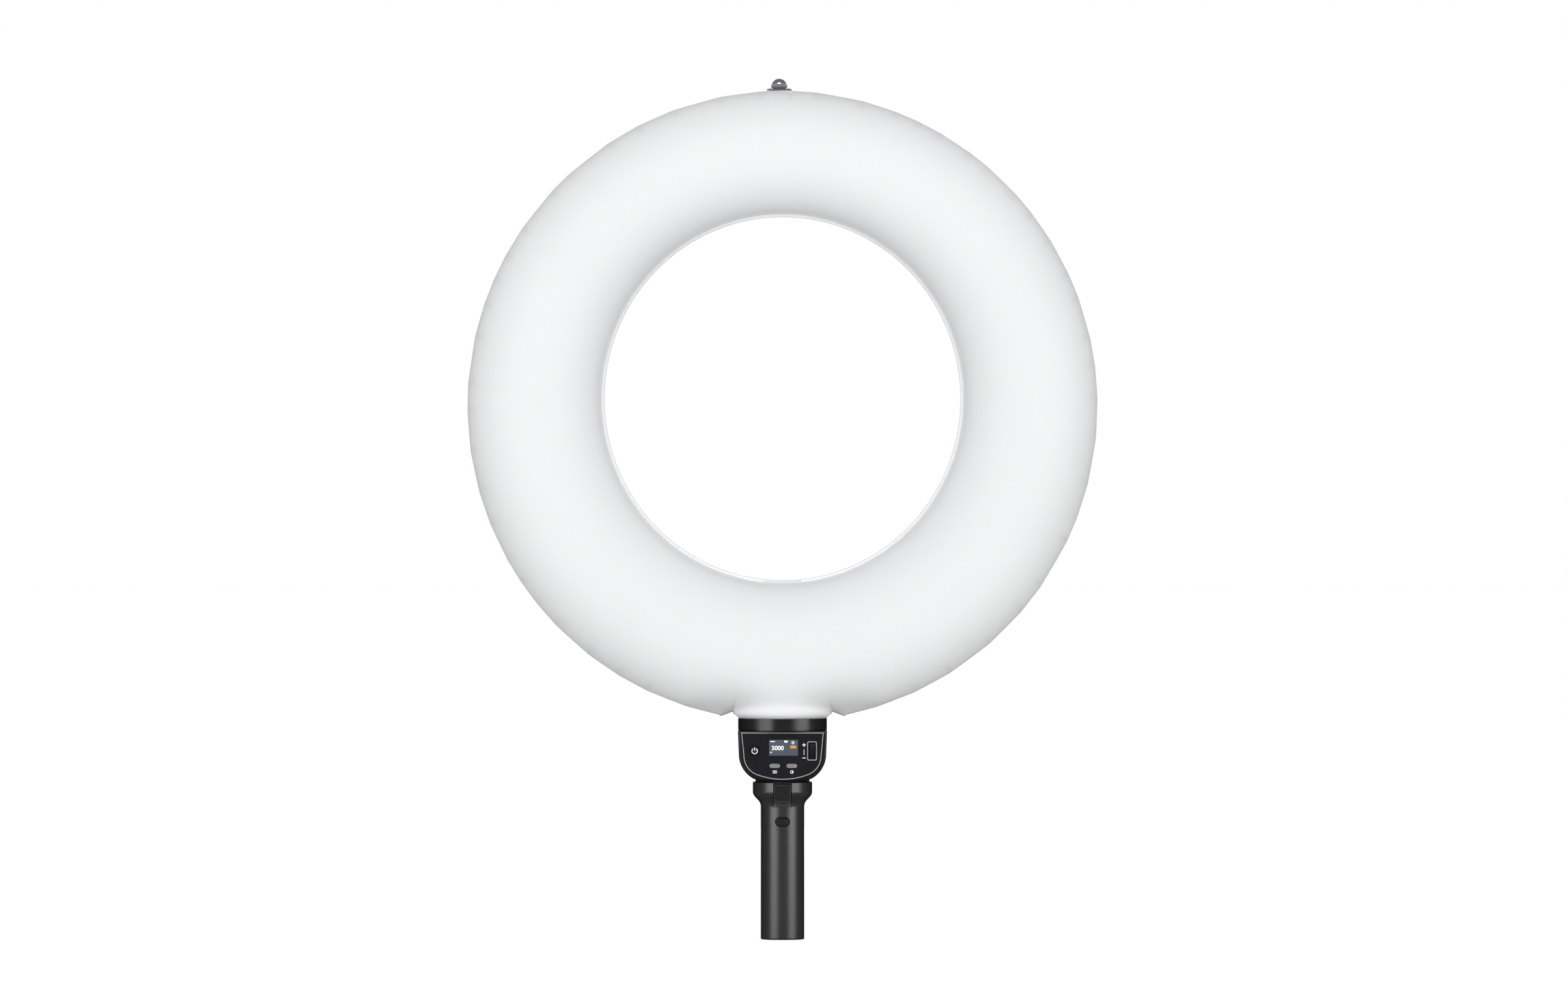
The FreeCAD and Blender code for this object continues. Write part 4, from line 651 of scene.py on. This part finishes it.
def digits(name, text, x, z, front):
    """Plain bold figures, as a mesh."""
    curve = bpy.data.curves.new(name, "FONT")
    curve.body = text
    curve.size = NUMBER_TALL
    curve.extrude = MARK
    curve.offset = NUMBER_TALL * NUMBER_BOLD
    maker = bpy.data.objects.new(name + "_curve", curve)
    bpy.context.scene.collection.objects.link(maker)
    bpy.context.view_layer.update()
    mesh = bpy.data.meshes.new_from_object(maker)
    bpy.data.objects.remove(maker)
    points = [(x + v.co.x, front - v.co.z, z + v.co.y) for v in mesh.vertices]
    faces = [tuple(face.vertices) for face in mesh.polygons]
    bpy.data.meshes.remove(mesh)
    add_piece(name, points, faces, "head", screen_ink, shade=False)


def screen_marks(name, outlines, material=screen_ink):
    marks(name, outlines, material, screen_front)


digits("screen_number", "5000", screen_x + NUMBER_X, screen_z + NUMBER_Z, screen_front)
screen_marks("screen_tag", [bar(screen_x + TAG_X, screen_z + TAG_Z, *TAG_SIZE)])
screen_marks("screen_cell", [bar(screen_x + CELL_X, screen_z + CELL_Z, *CELL_SIZE)])
sun_x, sun_z = screen_x + SUN_X, screen_z + SUN_Z
sun = [arc_points(sun_x, sun_z, SUN_R, 0, DISC_END, SUN_STEPS)]
for ray in (math.radians(360 / RAYS * number) for number in range(RAYS)):
    sun.append(bar(sun_x + RAY_AWAY * math.cos(ray), sun_z + RAY_AWAY * math.sin(ray), RAY_SIZE, RAY_SIZE))
screen_marks("screen_sun", sun)
screen_marks("screen_level", [bar(screen_x + LEVEL_X, screen_z + LEVEL_Z, *LEVEL_SIZE)], screen_amber)
drop = arc_points(screen_x + DROP_X, screen_z + DROP_Z, DROP_R, 0, DISC_END, DROP_STEPS)
screen_marks("screen_drop", [drop])

# Lamps: a soft box on each side of the front, one above it and one behind. Place, width, height, watts.
LAMPS_AIM = Vector((0, 0, 0.35))
SOFT_BOXES = {
    "soft_left": ((-1.80, -1.74, 0.50), 1.7, 1.1, 9.0),
    "soft_right": ((1.98, -1.53, 0.50), 1.7, 1.1, 9.0),
    "soft_above": ((0, -1.80, 2.20), 2.0, 1.0, 8.4),
    "soft_behind": ((0, 2.60, 0.60), 1.6, 1.2, 6.4),
}
for name, (place, wide, tall, watts) in SOFT_BOXES.items():
    data = bpy.data.lights.new(name, "AREA")
    data.shape = "RECTANGLE"
    data.size, data.size_y = wide, tall
    data.energy = watts
    lamp = bpy.data.objects.new(name, data)
    lamp.location = place
    lamp.rotation_mode = "QUATERNION"
    lamp.rotation_quaternion = (LAMPS_AIM - Vector(place)).to_track_quat("-Z", "Y")
    lamp.visible_camera = False
    bpy.context.scene.collection.objects.link(lamp)

# Room: brighter in front than behind, dim for reflections, and plain white for the camera
ROOM_AHEAD, ROOM_BEHIND = 2.27, 0.90
AHEAD_FULL, AHEAD_END = -1.0, -0.5
BEHIND_START, BEHIND_FULL = -0.25, 0.25
GLOSS_LOW, GLOSS_HIGH = 0.06, 0.3
GLOSS_START, GLOSS_END = 0.1, 0.9
ROOM_WHITE = 1.0
world = bpy.data.worlds.new("room")
bpy.context.scene.world = world
world.use_nodes = True
room = world.node_tree
backdrop = room.nodes["Background"]
backdrop.inputs["Color"].default_value = (1, 1, 1, 1)
path = room.nodes.new("ShaderNodeLightPath")
split = room.nodes.new("ShaderNodeSeparateXYZ")
room.links.new(room.nodes.new("ShaderNodeTexCoord").outputs["Generated"], split.inputs["Vector"])
ahead = remap(room, split.outputs["Y"], ROOM_AHEAD, 0.0, AHEAD_FULL, AHEAD_END)
behind = remap(room, split.outputs["Y"], 0.0, ROOM_BEHIND, BEHIND_START, BEHIND_FULL)
gloss = remap(room, split.outputs["Z"], GLOSS_LOW, GLOSS_HIGH, GLOSS_START, GLOSS_END)
level = blend(room, path.outputs["Is Glossy Ray"], added(room, ahead, behind), gloss)
level = blend(room, path.outputs["Is Transmission Ray"], level, ROOM_WHITE)
level = blend(room, path.outputs["Is Camera Ray"], level, ROOM_WHITE)
room.links.new(level, backdrop.inputs["Strength"])

# Floor: pale where light falls, darker in reflections, and glowing white for the camera
FLOOR_FAR, FLOOR_DROP = 30.0, 0.0002
FLOOR_ROUGH, FLOOR_SPEC = 0.9, 0.1
FLOOR_PALE, FLOOR_SHEEN = 0.8, 0.15
FLOOR_WHITE = 0.5
floor_mesh = bpy.data.meshes.new("floor")
floor_corners = [(x * FLOOR_FAR, y * FLOOR_FAR, 0) for x, y in SQUARE]
floor_mesh.from_pydata(floor_corners, [], [(0, 1, 2, 3)])
floor = bpy.data.objects.new("floor", floor_mesh)
floor.location.z = -FLOOR_DROP
bpy.context.scene.collection.objects.link(floor)
floor_material, floor_tree = new_material("floor")
floor_shader = floor_tree.nodes["Principled BSDF"]
floor_shader.inputs["Roughness"].default_value = FLOOR_ROUGH
floor_shader.inputs["Specular IOR Level"].default_value = FLOOR_SPEC
floor_shader.inputs["Emission Color"].default_value = (1, 1, 1, 1)
floor_path = floor_tree.nodes.new("ShaderNodeLightPath")
floor_shade = blend(floor_tree, floor_path.outputs["Is Glossy Ray"], FLOOR_PALE, FLOOR_SHEEN)
floor_tree.links.new(floor_shade, floor_shader.inputs["Base Color"])
floor_glow = blend(floor_tree, floor_path.outputs["Is Transmission Ray"], 0.0, FLOOR_WHITE)
floor_glow = blend(floor_tree, floor_path.outputs["Is Camera Ray"], floor_glow, FLOOR_WHITE)
floor_tree.links.new(floor_glow, floor_shader.inputs["Emission Strength"])
floor.data.materials.append(floor_material)
